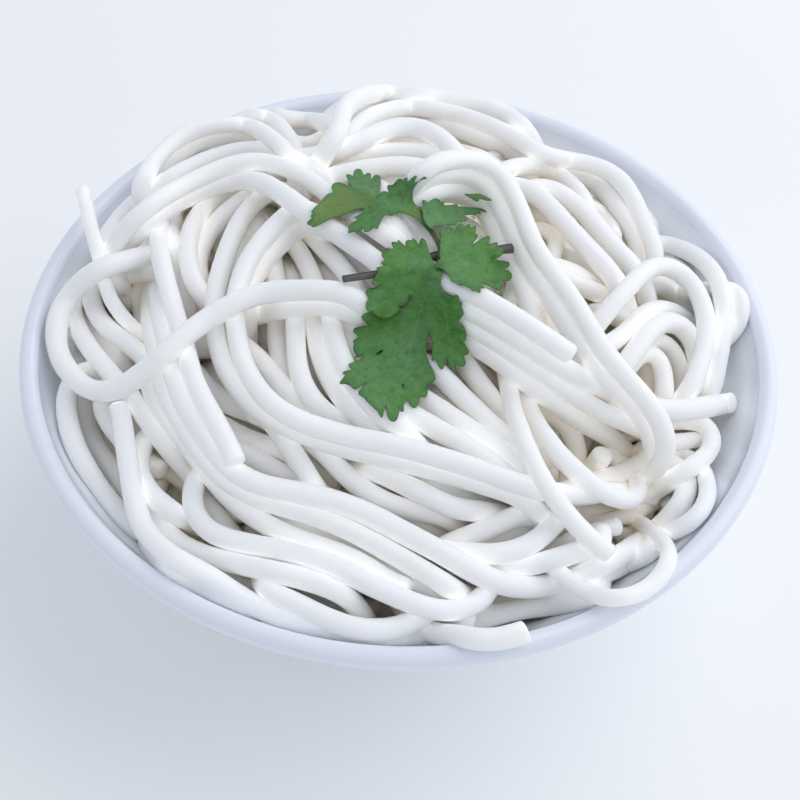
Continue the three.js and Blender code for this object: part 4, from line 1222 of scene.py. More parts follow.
# ============================================================ the sprig
# (x, y) of the outlines, slits and veins, on a level 2 mm over the heap's own surface
# <leaves>
LEAVES = {
    "A": {
        "outline": [
            (7.71, 0.34), (7.45, 1.39), (6.95, 2.59), (6.44, 4.1), (6.17, 5.34), (5.77, 6.93), (5.26, 8.21),
            (4.52, 8.82), (4.05, 8.11), (3.88, 6.76), (3.46, 7.22), (3.07, 8.02), (2.58, 8.32), (2.09, 8.56),
            (2.29, 8.04), (1.74, 7.92), (1.01, 7.87), (0.61, 7.35), (0.56, 6.66), (0.83, 5.54), (0.21, 6.15),
            (-0.42, 6.94), (-0.8, 7.43), (-1.34, 7.66), (-1.03, 6.89), (-1.76, 7.02), (-2.37, 7.07), (-2.73, 7.02),
            (-2.71, 6.3), (-2.43, 5.33), (-2.34, 4.68), (-2.9, 4.82), (-3.51, 4.95), (-3.99, 4.81), (-3.61, 4.44),
            (-4.07, 3.77), (-4.78, 3.5), (-5.12, 2.98), (-5.02, 2.3), (-4.59, 1.69), (-4.2, 1.02), (-4.67, 0.72),
            (-5.13, 0.24), (-4.88, -0.18), (-4.02, -0.7), (-5.32, -0.99), (-5.91, -1.23), (-6.18, -1.56),
            (-5.81, -2.01), (-5.78, -2.67), (-6.28, -3.86), (-6.71, -4.77), (-7.03, -5.68), (-6.81, -6.41),
            (-6.28, -6.59), (-5.45, -6.63), (-5.32, -6.93), (-6.02, -7.15), (-6.96, -7.34), (-7.89, -7.66),
            (-8.38, -8.32), (-8.3, -9.05), (-7.91, -9.67), (-7.43, -9.99), (-7.75, -10.71), (-8.13, -11.71),
            (-8.17, -12.69), (-7.85, -13.53), (-7.49, -13.87), (-6.43, -14.01), (-7.12, -14.25), (-8.04, -14.48),
            (-8.83, -15.03), (-9.11, -15.52), (-8.78, -16.24), (-8.16, -17.04), (-7.3, -17.85), (-8.11, -17.98),
            (-9.27, -18.15), (-10.18, -18.41), (-10.74, -18.95), (-10.79, -19.35), (-10.21, -20.14),
            (-9.25, -20.91), (-9.92, -21.3), (-10.59, -21.82), (-10.73, -22.22), (-10.36, -22.59),
            (-10.58, -23.36), (-10.47, -24.14), (-10.2, -24.88), (-9.78, -25.4), (-10.03, -25.9), (-9.91, -26.1),
            (-9.12, -25.85), (-8.22, -25.48), (-8.51, -26.49), (-9.52, -26.9), (-10.65, -27.41), (-11.42, -27.9),
            (-11.16, -28.52), (-10.45, -29.02), (-11.24, -29.27), (-12.14, -29.5), (-12.69, -29.98),
            (-12.09, -30.49), (-12.4, -31.08), (-12.93, -31.83), (-13.24, -32.46), (-11.97, -32.62),
            (-10.81, -33.13), (-9.74, -33.89), (-8.53, -33.23), (-7.09, -32.23), (-8.05, -33.59), (-8.86, -34.65),
            (-7.49, -35.94), (-5.82, -37.66), (-4.41, -38.89), (-3.11, -40.28), (-2.92, -39.31), (-2.55, -37.56),
            (-2.16, -38.8), (-1.92, -40.2), (-1.28, -40.96), (-0.59, -41.23), (0.07, -40.8), (0.42, -39.98),
            (0.66, -38.71), (1.12, -38.79), (1.56, -38.65), (1.61, -37.96), (1.62, -37.12), (2.6, -35.98),
            (2.86, -36.85), (3.33, -37.5), (4.13, -37.75), (4.68, -37.19), (5, -36.35), (5.19, -35.14),
            (5.74, -34.89), (6.21, -35.21), (6.65, -34.81), (6.92, -33.85), (6.82, -32.65), (6.44, -31.48),
            (7.36, -31.53), (8.15, -31.21), (8.55, -30.81), (8.46, -29.61), (8.08, -28.42), (7.36, -27.23),
            (6.75, -25.76), (6.36, -24.29), (6.26, -23), (6.51, -20.91), (6.71, -19.6), (6.92, -18.66),
            (7.24, -19.56), (7.57, -21.61), (7.62, -23.66), (7.61, -25.2), (7.79, -26.07), (8.47, -25.61),
            (8.84, -26.36), (9.32, -27.43), (9.98, -28.03), (10.59, -27.17), (10.9, -25.9), (11.07, -24.93),
            (11.37, -26.11), (11.86, -27.43), (12.68, -28.32), (12.97, -27.45), (13.11, -26.3), (13.93, -26.72),
            (14.97, -26.75), (15.42, -26.17), (15.29, -24.9), (15.05, -24.05), (15.63, -23.8), (16.25, -23.11),
            (15.72, -21.9), (14.89, -20.82), (14.42, -20.67), (15.12, -20.27), (15.5, -19.18), (15.44, -17.84),
            (14.96, -16.57), (14.24, -15.72), (13.41, -15.12), (14.11, -14.23), (14.8, -13.03), (14.56, -11.81),
            (14.24, -10.87), (14.47, -10.04), (13.82, -9.73), (13.65, -8.67), (13.4, -7.88), (12.97, -7.81),
            (12.38, -8.29), (11.55, -8.29), (10.59, -7.73), (9.87, -7.1), (9.49, -5.97), (9.3, -4.64),
            (9.45, -3.28), (9.67, -1.76), (9.58, -0.4), (8.79, 0.45),
        ],
        "holes": [
            [
                (2.09, -9.21), (1.88, -10.14), (1.06, -11.69), (0.23, -12.76), (-0.15, -12.65), (0.51, -11.34),
                (1.36, -10.02),
            ],
            [
                (-3.67, -24.15), (-4.11, -24.76), (-4.89, -25.32), (-5.15, -25.23), (-4.58, -24.49),
            ],
            [
                (1.19, -32.1), (1.47, -32.75), (1.37, -33.32), (1.04, -33.03), (0.98, -32.43),
            ],
        ],
        "veins": [
            (1.0, [
                (8.3, 0.84), (7.75, -1.68), (6.85, -5.07), (5.86, -8.69), (4.99, -11.86), (4.14, -15.26),
                (3.23, -19.87), (2.54, -23.78), (1.77, -28.35), (0.59, -33.77), (-0.51, -40.37),
            ]),
            (0.8, [
                (8.3, 0.84), (5.41, 1.18), (2.24, 2.74), (-0.25, 5.13), (-1.51, 6.72),
            ]),
            (0.6, [
                (5.41, 1.18), (3.9, 3.85), (2.85, 7.36),
            ]),
            (0.6, [
                (5.41, 1.18), (1.33, 0.82), (-2.07, 1.78), (-4.76, 2.93),
            ]),
            (0.75, [
                (7.39, -1.99), (3.83, -3.26), (-0.41, -5.05), (-4.16, -6.15), (-6.79, -5.67),
            ]),
            (0.6, [
                (3.83, -3.26), (-0.32, -7.7), (-3.99, -10.46), (-7.66, -12.54),
            ]),
            (0.75, [
                (4.99, -11.86), (2.44, -12.9), (-0.52, -15.55), (-4.16, -17.87), (-8.76, -19.07),
            ]),
            (0.55, [
                (-0.52, -15.55), (-3.57, -15.14), (-6.63, -14.72), (-8.47, -15.32),
            ]),
            (0.7, [
                (3.94, -16.36), (1.02, -19.75), (-3.07, -22.03), (-7.17, -23.2), (-10.13, -24),
            ]),
            (0.8, [
                (3.02, -20.66), (0.72, -24.41), (-2.84, -27.6), (-7.3, -30.19), (-12.68, -32.18),
            ]),
            (0.55, [
                (-2.84, -27.6), (-6.5, -27.72), (-10.61, -28.04),
            ]),
            (0.7, [
                (2.06, -26.84), (-0.44, -30.44), (-3.5, -33.7), (-7.98, -35),
            ]),
            (0.7, [
                (1.18, -31.08), (-0.3, -34.27), (-2.01, -36.94), (-3.03, -39.56),
            ]),
            (0.6, [
                (0.78, -32.8), (1.77, -34.9), (3.66, -37.13),
            ]),
            (0.6, [
                (1.57, -29.11), (3.47, -31.19), (6.07, -34.37),
            ]),
            (0.55, [
                (2.15, -25.84), (4.5, -27.68), (7.79, -30.65),
            ]),
            (0.9, [
                (6.97, -5.06), (8.46, -8.14), (9.95, -11.94), (10.96, -16.52), (11.74, -21.21), (12.56, -27.72),
            ]),
            (0.6, [
                (9.95, -11.94), (11.58, -10.63), (13.22, -8.7),
            ]),
            (0.6, [
                (10.71, -15.19), (12.57, -13.88), (14.45, -12.52),
            ]),
            (0.6, [
                (11.23, -18.37), (13.1, -18.41), (15.22, -18.93),
            ]),
            (0.6, [
                (11.5, -20.43), (13.38, -21.53), (15.73, -23.05),
            ]),
            (0.6, [
                (11.89, -22.99), (13.43, -24.88), (14.85, -26.47),
            ]),
            (0.6, [
                (10.97, -17.04), (10.12, -21.35), (9.66, -27.28),
            ]),
            (0.5, [
                (9.21, -10.33), (8.36, -15.44), (8.04, -22.09),
            ]),
        ],
    },
    "B": {
        "outline": [
            (8.96, 5.35), (8.9, 6.51), (8.92, 8.61), (8.85, 10.28), (8.95, 11.86), (9.35, 11.94), (9.82, 11.42),
            (10.1, 12.31), (10.47, 13.45), (11.03, 14.03), (11.58, 13.59), (12.03, 12.77), (12.2, 11.75),
            (12.72, 12.88), (13.33, 14.19), (14.12, 14.93), (14.57, 14.53), (14.89, 13.84), (15.37, 14.51),
            (16.14, 15.03), (16.43, 14.33), (16.53, 13.98), (17.06, 14.43), (17.63, 14.62), (17.77, 13.68),
            (17.59, 12.16), (18.21, 11.53), (17.98, 10.55), (17.36, 9.37), (16.74, 8.04), (17.51, 8.9),
            (18.75, 10.25), (19.99, 11.3), (21.09, 11.74), (21.23, 10.92), (20.92, 9.61), (20.54, 8.26),
            (21.21, 9.03), (22.16, 9.75), (23.04, 10.03), (22.82, 8.71), (23.69, 8.52), (24.45, 8.24),
            (24.54, 7.25), (24.12, 6.16), (23.02, 5.12), (21.93, 4.29), (23.33, 4.27), (24.86, 4.37),
            (25.94, 4.12), (26.03, 3.54), (25.45, 2.47), (24.68, 1.81), (25.59, 1.68), (26.36, 0.91),
            (26.49, -0.23), (26.01, -1.24), (24.78, -1.73), (23.42, -1.88), (23.7, -2.68), (24.01, -3.76),
            (23.85, -4.64), (22.64, -4.75), (21.12, -4.15), (19.91, -3.73), (19.02, -3.5), (19.45, -4.17),
            (19.76, -4.89), (19.02, -4.81), (18.85, -5.58), (18.66, -6.35), (17.65, -5.94), (16.86, -6.07),
            (16.62, -5.55), (15.7, -5.15), (14.81, -4.72), (14.05, -4.99), (13.01, -4.39), (11.81, -3.79),
            (11.19, -2.56), (10.4, -1.16), (9.97, -0.8), (9.05, -0.34), (7.84, 0.1), (7.96, 1.1), (8.41, 1.92),
            (9, 2.54), (8.93, 4.53),
        ],
        "holes": [
        ],
        "veins": [
            (0.8, [
                (8.55, 0.88), (9.95, 3.87), (11.38, 6.93), (13.32, 10.83), (14.05, 14.39),
            ]),
            (0.6, [
                (11.38, 6.93), (11.11, 10.19), (10.96, 13.61),
            ]),
            (0.9, [
                (8.55, 0.88), (11.91, 2.84), (15.3, 5.54), (18.24, 8.3), (20.99, 11.29),
            ]),
            (0.6, [
                (13.35, 4.14), (14.8, 8.04), (16.28, 14.38),
            ]),
            (0.5, [
                (15.05, 5.51), (16.52, 8.98), (17.53, 13.92),
            ]),
            (0.9, [
                (8.55, 0.88), (12.64, 1.51), (17.49, 2.69), (21.67, 5.65), (24.41, 7.51),
            ]),
            (0.5, [
                (17.49, 2.69), (20.45, 6.4), (22.7, 9.46),
            ]),
            (0.8, [
                (12.64, 1.36), (17.49, 1.6), (22.38, 2.78), (25.84, 3.62),
            ]),
            (0.9, [
                (8.55, 0.88), (11.93, 0.2), (16.28, -0.28), (21.14, -0.71), (26.27, -0.31),
            ]),
            (0.7, [
                (11.93, 0.2), (15.81, -1.55), (19.91, -3.04), (23.66, -4.15),
            ]),
            (0.55, [
                (14.35, -0.85), (16.78, -3.21), (18.71, -5.89),
            ]),
            (0.5, [
                (11.45, -0.03), (12.68, -2.3), (14.14, -4.78),
            ]),
        ],
    },
    "C": {
        "outline": [
            (3.96, 19.55), (4.28, 19.69), (4.56, 20.67), (4.24, 21.7), (4.53, 22.29), (5.16, 22.12), (5.8, 21.27),
            (6.12, 21.73), (6.58, 22.5), (7.35, 23.16), (8.13, 23.24), (8.72, 22.65), (8.85, 21.84), (9.65, 22.17),
            (9.88, 21.49), (9.56, 20.87), (11.29, 21.22), (13.17, 21.58), (13.32, 21.03), (15.05, 21.11),
            (17.1, 21.31), (18.99, 21.37), (20.05, 20.89), (20.47, 20.27), (19.61, 20.26), (18.68, 20.3),
            (19.07, 19.54), (17.89, 19.43), (18.03, 18.72), (16.63, 18.59), (14.75, 18.06), (15.37, 17.49),
            (15.74, 16.87), (15.19, 16), (14.12, 15.63), (13.18, 15.14), (12.81, 14.21), (11.65, 13.94),
            (11.03, 14.17), (9.79, 13.81), (8.39, 13.3), (7.48, 13.33), (7.09, 12.85), (7.18, 12), (6.41, 12.35),
            (5.48, 13.57), (4.84, 15.03), (4.49, 16.33), (4.42, 17.7), (4.15, 18.8),
        ],
        "holes": [
        ],
        "veins": [
            (0.9, [
                (4.63, 15.72), (6.84, 16.48), (10.06, 17.92), (14.3, 19.43), (19.33, 20.36),
            ]),
            (0.8, [
                (5.37, 15.46), (6.59, 16.98), (7.43, 19.08), (7.9, 21.15), (8.01, 22.66),
            ]),
            (0.6, [
                (10.06, 17.92), (12.55, 17.01), (15.04, 16.66),
            ]),
            (0.6, [
                (6.84, 16.48), (8.84, 15.28), (12.07, 14.45),
            ]),
            (0.5, [
                (8.82, 17.42), (10.79, 19.47), (13.04, 21.12),
            ]),
        ],
    },
    "D": {
        "outline": [
            (3.96, 19.55), (3.33, 19.78), (2.54, 20.69), (2.03, 22.05), (1.84, 23.95), (1.95, 25.86),
            (2.39, 27.38), (3.14, 29.03), (4.39, 30.35), (5.35, 31), (4.86, 31.54), (3.93, 30.7), (3.18, 29.6),
            (2.11, 28.61), (2.29, 29.88), (2.56, 31.7), (1.68, 30.91), (1.07, 29.78), (0.71, 29.14), (0.29, 29.72),
            (0.36, 30.73), (-0.37, 30.43), (-0.68, 29.62), (-1.1, 30.07), (-1.63, 30.18), (-2.39, 29.24),
            (-2.98, 27.95), (-3.45, 27.43), (-4.41, 27.4), (-4.63, 26.63), (-4.34, 25.45), (-4.12, 24.37),
            (-4.95, 24.92), (-5.87, 24.77), (-6.33, 24.16), (-6.54, 23.25), (-6.6, 24.6), (-6.42, 26.52),
            (-6.37, 29.27), (-6.58, 30.78), (-7.3, 31.37), (-8.02, 31.1), (-8.47, 30.19), (-8.81, 29.27),
            (-8.87, 30.67), (-9.18, 31.98), (-9.82, 32.06), (-10.42, 31.26), (-10.93, 31.79), (-11.18, 32.67),
            (-11.65, 33.48), (-12.31, 33.74), (-13.08, 33.3), (-13.32, 32.16), (-13.5, 30.71), (-14.25, 31.34),
            (-15.04, 31.37), (-14.85, 29.83), (-14.39, 28.29), (-13.85, 26.85), (-13.31, 25.6), (-12.89, 24.88),
            (-13.83, 26.34), (-14.8, 27.08), (-15.96, 27.81), (-17.24, 28.16), (-18.32, 27.57), (-18.65, 26.33),
            (-18.23, 24.88), (-18.3, 24.03), (-19.02, 23.93), (-20.05, 22.73), (-21.02, 20.86), (-21.41, 19.97),
            (-22.28, 18.83), (-22.87, 17.71), (-23.02, 16.91), (-22.59, 16.59), (-22.99, 15.95), (-23.02, 15.26),
            (-22.76, 14.82), (-23.42, 13.95), (-23.87, 13.09), (-23.54, 12.64), (-22.9, 12.29), (-22.25, 11.74),
            (-20.89, 12.35), (-19.45, 13.62), (-18.27, 14.49), (-16.47, 15.36), (-14.66, 16.05), (-13.47, 16.94),
            (-12.27, 17.66), (-11.2, 18.14), (-10.44, 18.4), (-10.05, 17.95), (-10.52, 16.82), (-11.41, 15.88),
            (-12.27, 14.89), (-11.65, 14.8), (-11.76, 14.11), (-12.8, 13.23), (-13.44, 11.87), (-13.63, 11.27),
            (-13.28, 10.82), (-13.54, 9.77), (-12.77, 9.85), (-11.89, 10.3), (-11.41, 10), (-10.8, 10.17),
            (-10.09, 11.09), (-9.74, 11.37), (-9.59, 10.26), (-8.83, 10.23), (-7.93, 10.99), (-7.31, 11.87),
            (-6.67, 11.25), (-6.16, 12.56), (-5.61, 14.16), (-5.22, 15.45), (-4.64, 16.4), (-4.17, 16.5),
            (-3.68, 16.02), (-2.92, 16.17), (-2.01, 17), (-1.1, 17.35), (-0.16, 17.08), (0.77, 16.81),
            (2.17, 16.07), (3.28, 15.14), (4.07, 14.09), (4.67, 13.44), (5.53, 13.57), (4.84, 15.03),
            (4.49, 16.33), (4.42, 17.7), (4.15, 18.8),
        ],
        "holes": [
            [
                (-7.2, 22.87), (-6.88, 23.07), (-6.61, 22.57), (-6.9, 22.16), (-7.18, 22.35),
            ],
        ],
        "veins": [
            (0.9, [
                (4.34, 17.85), (1.34, 18.5), (-2.15, 19.19), (-6.16, 19.9), (-9.15, 19.96), (-14.81, 18.71),
                (-19.61, 16.19), (-23.11, 13.1),
            ]),
            (0.7, [
                (-2.15, 19.19), (-1.78, 23.28), (-1.37, 26.41), (-0.71, 30.04),
            ]),
            (0.6, [
                (-0.41, 18.93), (0.47, 23.46), (1.63, 27.41), (2.32, 31.12),
            ]),
            (0.6, [
                (-3.65, 19.45), (-4.26, 22.38), (-4.36, 25.42),
            ]),
            (0.9, [
                (-6.16, 19.9), (-8.03, 22.97), (-9.96, 26.77), (-11.75, 32.37),
            ]),
            (0.6, [
                (-8.58, 24.07), (-7.71, 27.23), (-7.35, 30.87),
            ]),
            (0.6, [
                (-9.94, 26.34), (-12.06, 28.3), (-14.47, 30.69),
            ]),
            (0.9, [
                (-4.65, 19.42), (-7.05, 17.49), (-9.4, 14.55), (-12.86, 10.28),
            ]),
            (0.6, [
                (-7.05, 17.49), (-7.9, 14.23), (-9.22, 10.72),
            ]),
            (0.5, [
                (-9.4, 14.55), (-10.43, 15.58), (-11.87, 14.81),
            ]),
            (0.7, [
                (-9.15, 19.96), (-13.28, 22.81), (-16.52, 26.66),
            ]),
            (0.6, [
                (-13.1, 19.28), (-16.7, 21.31), (-19.53, 22.46),
            ]),
            (0.5, [
                (-16.02, 18.16), (-19.24, 18.01), (-22.67, 17.34),
            ]),
        ],
    },
    "E": {
        "outline": [
            (15.07, 26.14), (16.04, 26.21), (17.63, 26.63), (18.9, 26.8), (20.17, 26.17), (21.76, 24.98),
            (20.79, 24.75), (20, 24.7), (19.36, 24.92), (18.73, 25.01), (18.57, 24.15), (18.08, 23.78),
            (17.45, 24.03), (16.97, 24.51), (15.86, 25.27),
        ],
        "holes": [
        ],
        "veins": [
            (0.7, [
                (15.33, 25.91), (17.62, 25.74), (20.92, 25.1),
            ]),
        ],
    },
}
A_FOLD = [
    (-7.48, -13.9), (-5.92, -14.84), (-3.89, -15.98), (-2.4, -15.37), (-0.81, -14.07), (0.09, -12.76),
]
D_PALE = [
    (-6.47, 21.52), (-9.78, 22.92), (-12.62, 24.56), (-15.25, 26.47), (-17.27, 26.49), (-17.96, 25.5),
    (-17.62, 23.97), (-19.04, 22.66), (-20.66, 20.62), (-21.98, 18.06), (-22.1, 16.26), (-22.44, 14.13),
    (-22.09, 12.72), (-19.49, 14.25), (-16.49, 15.64), (-13.49, 17.27), (-10.59, 18.8), (-8.39, 19.61),
]
D_BASE = [
    (4.67, 13.63), (4.16, 14.28), (2.39, 16.27), (-0.11, 17.34), (-1.12, 17.82), (0.59, 18.83),
    (2.07, 19.56), (3.96, 19.43), (4.34, 17.85), (4.5, 16.07),
]
TWIG = [
    (-13.9, -5.04), (-5.95, -3.26), (1.84, -0.22), (7.78, 3.22), (16.28, 5.21), (26.68, 8.83),
]
PETIOLE = [
    (8.54, 1.5), (9.08, 5.35), (8.59, 7.41), (7.33, 10.15), (6.07, 12.36), (4.65, 14.4), (3.76, 15.83),
]
# </leaves>


# ============================================================ tubes
def tubes(name, strands, sides, step, seed):
    """All the strands of a kind as one mesh of closed round tubes."""
    vs, loops, sizes, uvs, dep, tone = [], [], [], [], [], []
    base = 0
    ang = np.arange(sides) * 2 * math.pi / sides
    for n, s in enumerate(strands):
        line = resample(catmull(s["line"][::2] if len(s["line"]) > 9 else s["line"], 6), step)
        m = len(line)
        tan = np.gradient(line, axis=0)
        tan /= np.linalg.norm(tan, axis=1)[:, None]
        rng = np.random.default_rng(seed + n)
        u = np.cross(tan[0], [0.3, 0.2, 1.0])
        u /= np.linalg.norm(u)
        us = [u]
        for k in range(1, m):
            u = u - tan[k] * (u @ tan[k])
            u /= np.linalg.norm(u)
            us.append(u)
        us = np.array(us)
        ws = np.cross(tan, us)
        arc = np.arange(m) * step
        r = s["radius"] * (1 + 0.022 * wave_noise(seed * 3 + n, 34)(arc) + 0.010 * wave_noise(seed * 5 + n, 9)(arc))
        oval = 0.035 * wave_noise(seed * 7 + n, 40)(arc)
        turn = rng.random() * 6.283 + 0.6 * wave_noise(seed * 11 + n, 60)(arc)
        a = ang[None, :] + 0 * arc[:, None]
        rr = r[:, None] * (1 + oval[:, None] * np.cos(2 * (a - turn[:, None])))
        ring = line[:, None, :] + rr[..., None] * (us[:, None, :] * np.cos(a)[..., None] + ws[:, None, :] * np.sin(a)[..., None])
        # the ends: a cut one is flat with its edge rounded, a hidden one tapers
        heads, tails = [], []
        for end in (0, 1):
            c0 = line[0] if end == 0 else line[-1]
            d = -tan[0] if end == 0 else tan[-1]
            base_ring = ring[0] if end == 0 else ring[-1]
            shape = ((0.35, 0.96), (0.62, 0.84), (0.76, 0.62), (0.80, 0.32)) if str(end) in s["cut"] else ((0.8, 0.93), (1.5, 0.72), (1.9, 0.4))
            if str(end) in s["cut"]:
                lean = us[0 if end == 0 else -1] * (0.25 * (rng.random() - 0.5)) + ws[0 if end == 0 else -1] * (0.25 * (rng.random() - 0.5))
            else:
                lean = np.zeros(3)
            extra = []
            for dist, share in shape:
                off = base_ring - c0
                slant = (off @ lean)[:, None] * d[None]
                extra.append(c0 + off * share + d * dist + slant * share)
            (heads if end == 0 else tails).extend(extra)
        rings = np.array(heads[::-1] + list(ring) + tails)
        k = len(rings)
        arc_all = np.concatenate([[arc[0]] * len(heads), arc, [arc[-1]] * len(tails)])
        verts = rings.reshape(-1, 3)
        c_head = rings[0].mean(0)
        c_tail = rings[-1].mean(0)
        vs.append(np.vstack([verts, [c_head], [c_tail]]))
        a0 = np.arange(k - 1)[:, None] * sides + np.arange(sides)[None, :]
        a1 = np.arange(k - 1)[:, None] * sides + (np.arange(sides)[None, :] + 1) % sides
        quads = np.stack([a0, a1, a1 + sides, a0 + sides], -1).reshape(-1, 4)
        loops.append((quads + base).ravel())
        sizes.append(np.full(len(quads), 4))
        uu0 = np.broadcast_to(np.arange(sides) / sides, (k - 1, sides))
        uu1 = uu0 + 1 / sides
        vv0 = np.broadcast_to((arc_all[:-1] * MM)[:, None], (k - 1, sides))
        vv1 = np.broadcast_to((arc_all[1:] * MM)[:, None], (k - 1, sides))
        uvs.append(np.stack([np.stack([uu0, vv0], -1), np.stack([uu1, vv0], -1), np.stack([uu1, vv1], -1), np.stack([uu0, vv1], -1)], 2).reshape(-1, 2))
        ih = base + k * sides
        it = ih + 1
        j0 = np.arange(sides)
        j1 = (j0 + 1) % sides
        head_f = np.stack([np.full(sides, ih), base + j1, base + j0], -1)
        tail_f = np.stack([np.full(sides, it), base + (k - 1) * sides + j0, base + (k - 1) * sides + j1], -1)
        loops.append(head_f.ravel())
        loops.append(tail_f.ravel())
        sizes.append(np.full(2 * sides, 3))
        uvs.append(np.zeros((6 * sides, 2)))
        allv = vs[-1]
        # how deep each vertex lies under the heap's surface; the noodle material turns this into painted shade
        dep.append(np.clip((heap_z(allv[:, 0], allv[:, 1]) - allv[:, 2]) / (4 * NOODLE), -0.3, 1))
        tone.append(np.full(len(allv), rng.random()))
        base += len(allv)
    return fast_mesh(
        name, np.vstack(vs), np.concatenate(loops), np.concatenate(sizes), np.vstack(uvs),
        {"depth": np.concatenate(dep), "tone": np.concatenate(tone)},
    )


# ============================================================ materials
class Nodes:
    def __init__(self, name):
        self.mat = bpy.data.materials.new(name)
        self.mat.use_nodes = True
        self.t = self.mat.node_tree
        self.t.nodes.clear()
        self.out = self.t.nodes.new("ShaderNodeOutputMaterial")
        self.bsdf = self.t.nodes.new("ShaderNodeBsdfPrincipled")
        self.t.links.new(self.bsdf.outputs[0], self.out.inputs[0])

    def new(self, kind, **props):
        n = self.t.nodes.new(kind)
        for k, v in props.items():
            if k in n.inputs:
                n.inputs[k].default_value = v
            else:
                setattr(n, k, v)
        return n

    def link(self, a, b):
        self.t.links.new(a, b)

    def set(self, **values):
        for k, v in values.items():
            self.bsdf.inputs[k.replace("_", " ")].default_value = v

    def noise(self, vector, scale, detail=2.0, rough=0.5):
        n = self.t.nodes.new("ShaderNodeTexNoise")
        n.inputs["Scale"].default_value = scale
        n.inputs["Detail"].default_value = detail
        n.inputs["Roughness"].default_value = rough
        self.link(vector, n.inputs["Vector"])
        return n.outputs["Fac"]

    def ramp(self, fac, stops, mode="LINEAR"):
        n = self.t.nodes.new("ShaderNodeValToRGB")
        n.color_ramp.interpolation = mode
        while len(n.color_ramp.elements) > len(stops):
            n.color_ramp.elements.remove(n.color_ramp.elements[-1])
        while len(n.color_ramp.elements) < len(stops):
            n.color_ramp.elements.new(0.5)
        for e, (pos, col) in zip(n.color_ramp.elements, stops):
            e.position = pos
            e.color = (*col, 1) if len(col) == 3 else col
        self.link(fac, n.inputs[0])
        return n.outputs[0]

    def grey(self, fac, stops):
        return self.ramp(fac, [(p, (v, v, v)) for p, v in stops])

    def mix(self, fac, a, b, blend="MIX"):
        n = self.t.nodes.new("ShaderNodeMix")
        n.data_type = "RGBA"
        n.blend_type = blend
        for socket, value in ((n.inputs[0], fac), (n.inputs[6], a), (n.inputs[7], b)):
            if hasattr(value, "is_linked") or hasattr(value, "links"):
                self.link(value, socket)
            elif isinstance(value, (int, float)):
                socket.default_value = value
            else:
                socket.default_value = (*value, 1)
        return n.outputs[2]

    def math(self, op, a, b=None, c=None):
        n = self.t.nodes.new("ShaderNodeMath")
        n.operation = op
        for k, value in enumerate((a, b, c)):
            if value is None:
                continue
            if hasattr(value, "links"):
                self.link(value, n.inputs[k])
            else:
                n.inputs[k].default_value = value
        return n.outputs[0]

    def attribute(self, name):
        n = self.t.nodes.new("ShaderNodeAttribute")
        n.attribute_name = name
        return n

    def coords(self, which="Object"):
        return self.t.nodes.new("ShaderNodeTexCoord").outputs[which]

    def mapping(self, vector, scale):
        n = self.t.nodes.new("ShaderNodeMapping")
        n.inputs["Scale"].default_value = scale
        self.link(vector, n.inputs["Vector"])
        return n.outputs[0]

    def bump(self, height, distance, strength=1.0, normal=None):
        n = self.t.nodes.new("ShaderNodeBump")
        n.inputs["Strength"].default_value = strength
        n.inputs["Distance"].default_value = distance
        self.link(height, n.inputs["Height"])
        if normal is not None:
            self.link(normal, n.inputs["Normal"])
        return n.outputs[0]


def noodle_material(name, warm=0.0):
    m = Nodes(name)
    ob = m.coords()
    depth = m.attribute("depth").outputs["Fac"]
    tone = m.attribute("tone").outputs["Fac"]
    uv = m.coords("UV")
    streak = m.noise(m.mapping(uv, (9.0, 55.0, 1.0)), 1.0, 2.0, 0.55)
    patch = m.noise(ob, 75.0, 2.0, 0.5)
    grain = m.noise(ob, 1500.0, 2.0, 0.6)
    clear = m.mix(m.grey(patch, [(0.3, 0.0), (0.7, 1.0)]), (0.940, 0.943, 0.958), (0.956, 0.955, 0.958))
    toned = m.mix(m.math("MULTIPLY", tone, 0.55), clear, (0.955, 0.942, 0.912))
    streaked = m.mix(m.grey(streak, [(0.35, 0.0), (0.75, 0.35)]), toned, (0.908, 0.914, 0.935))
    # painted shade: the deeper a place lies under the heap's surface, the darker and warmer its colour, standing in
    # for the shade in the gaps between strands
    painted_gap_shading = m.ramp(depth, [(0.0, (1, 1, 1)), (0.25, (0.99, 0.98, 0.96)), (0.55, (0.965, 0.925, 0.855)), (1.0, (0.84, 0.76, 0.62))])
    m.link(m.mix(1.0, streaked, painted_gap_shading, "MULTIPLY"), m.bsdf.inputs["Base Color"])
    m.link(m.grey(m.noise(ob, 260.0, 3.0, 0.6), [(0.3, 0.30), (0.7, 0.46)]), m.bsdf.inputs["Roughness"])
    n1 = m.bump(streak, 0.00006, 1.0)
    n2 = m.bump(m.noise(ob, 420.0, 2.0, 0.5), 0.00010, 1.0, n1)
    n3 = m.bump(grain, 0.00002, 1.0, n2)
    m.link(n3, m.bsdf.inputs["Normal"])
    m.bsdf.subsurface_method = "BURLEY"
    m.set(Subsurface_Weight=1.0, Subsurface_Radius=(1.0, 0.93, 0.80), Subsurface_Scale=0.0045, IOR=1.36, Coat_Weight=0.10, Coat_Roughness=0.25)
    return m.mat


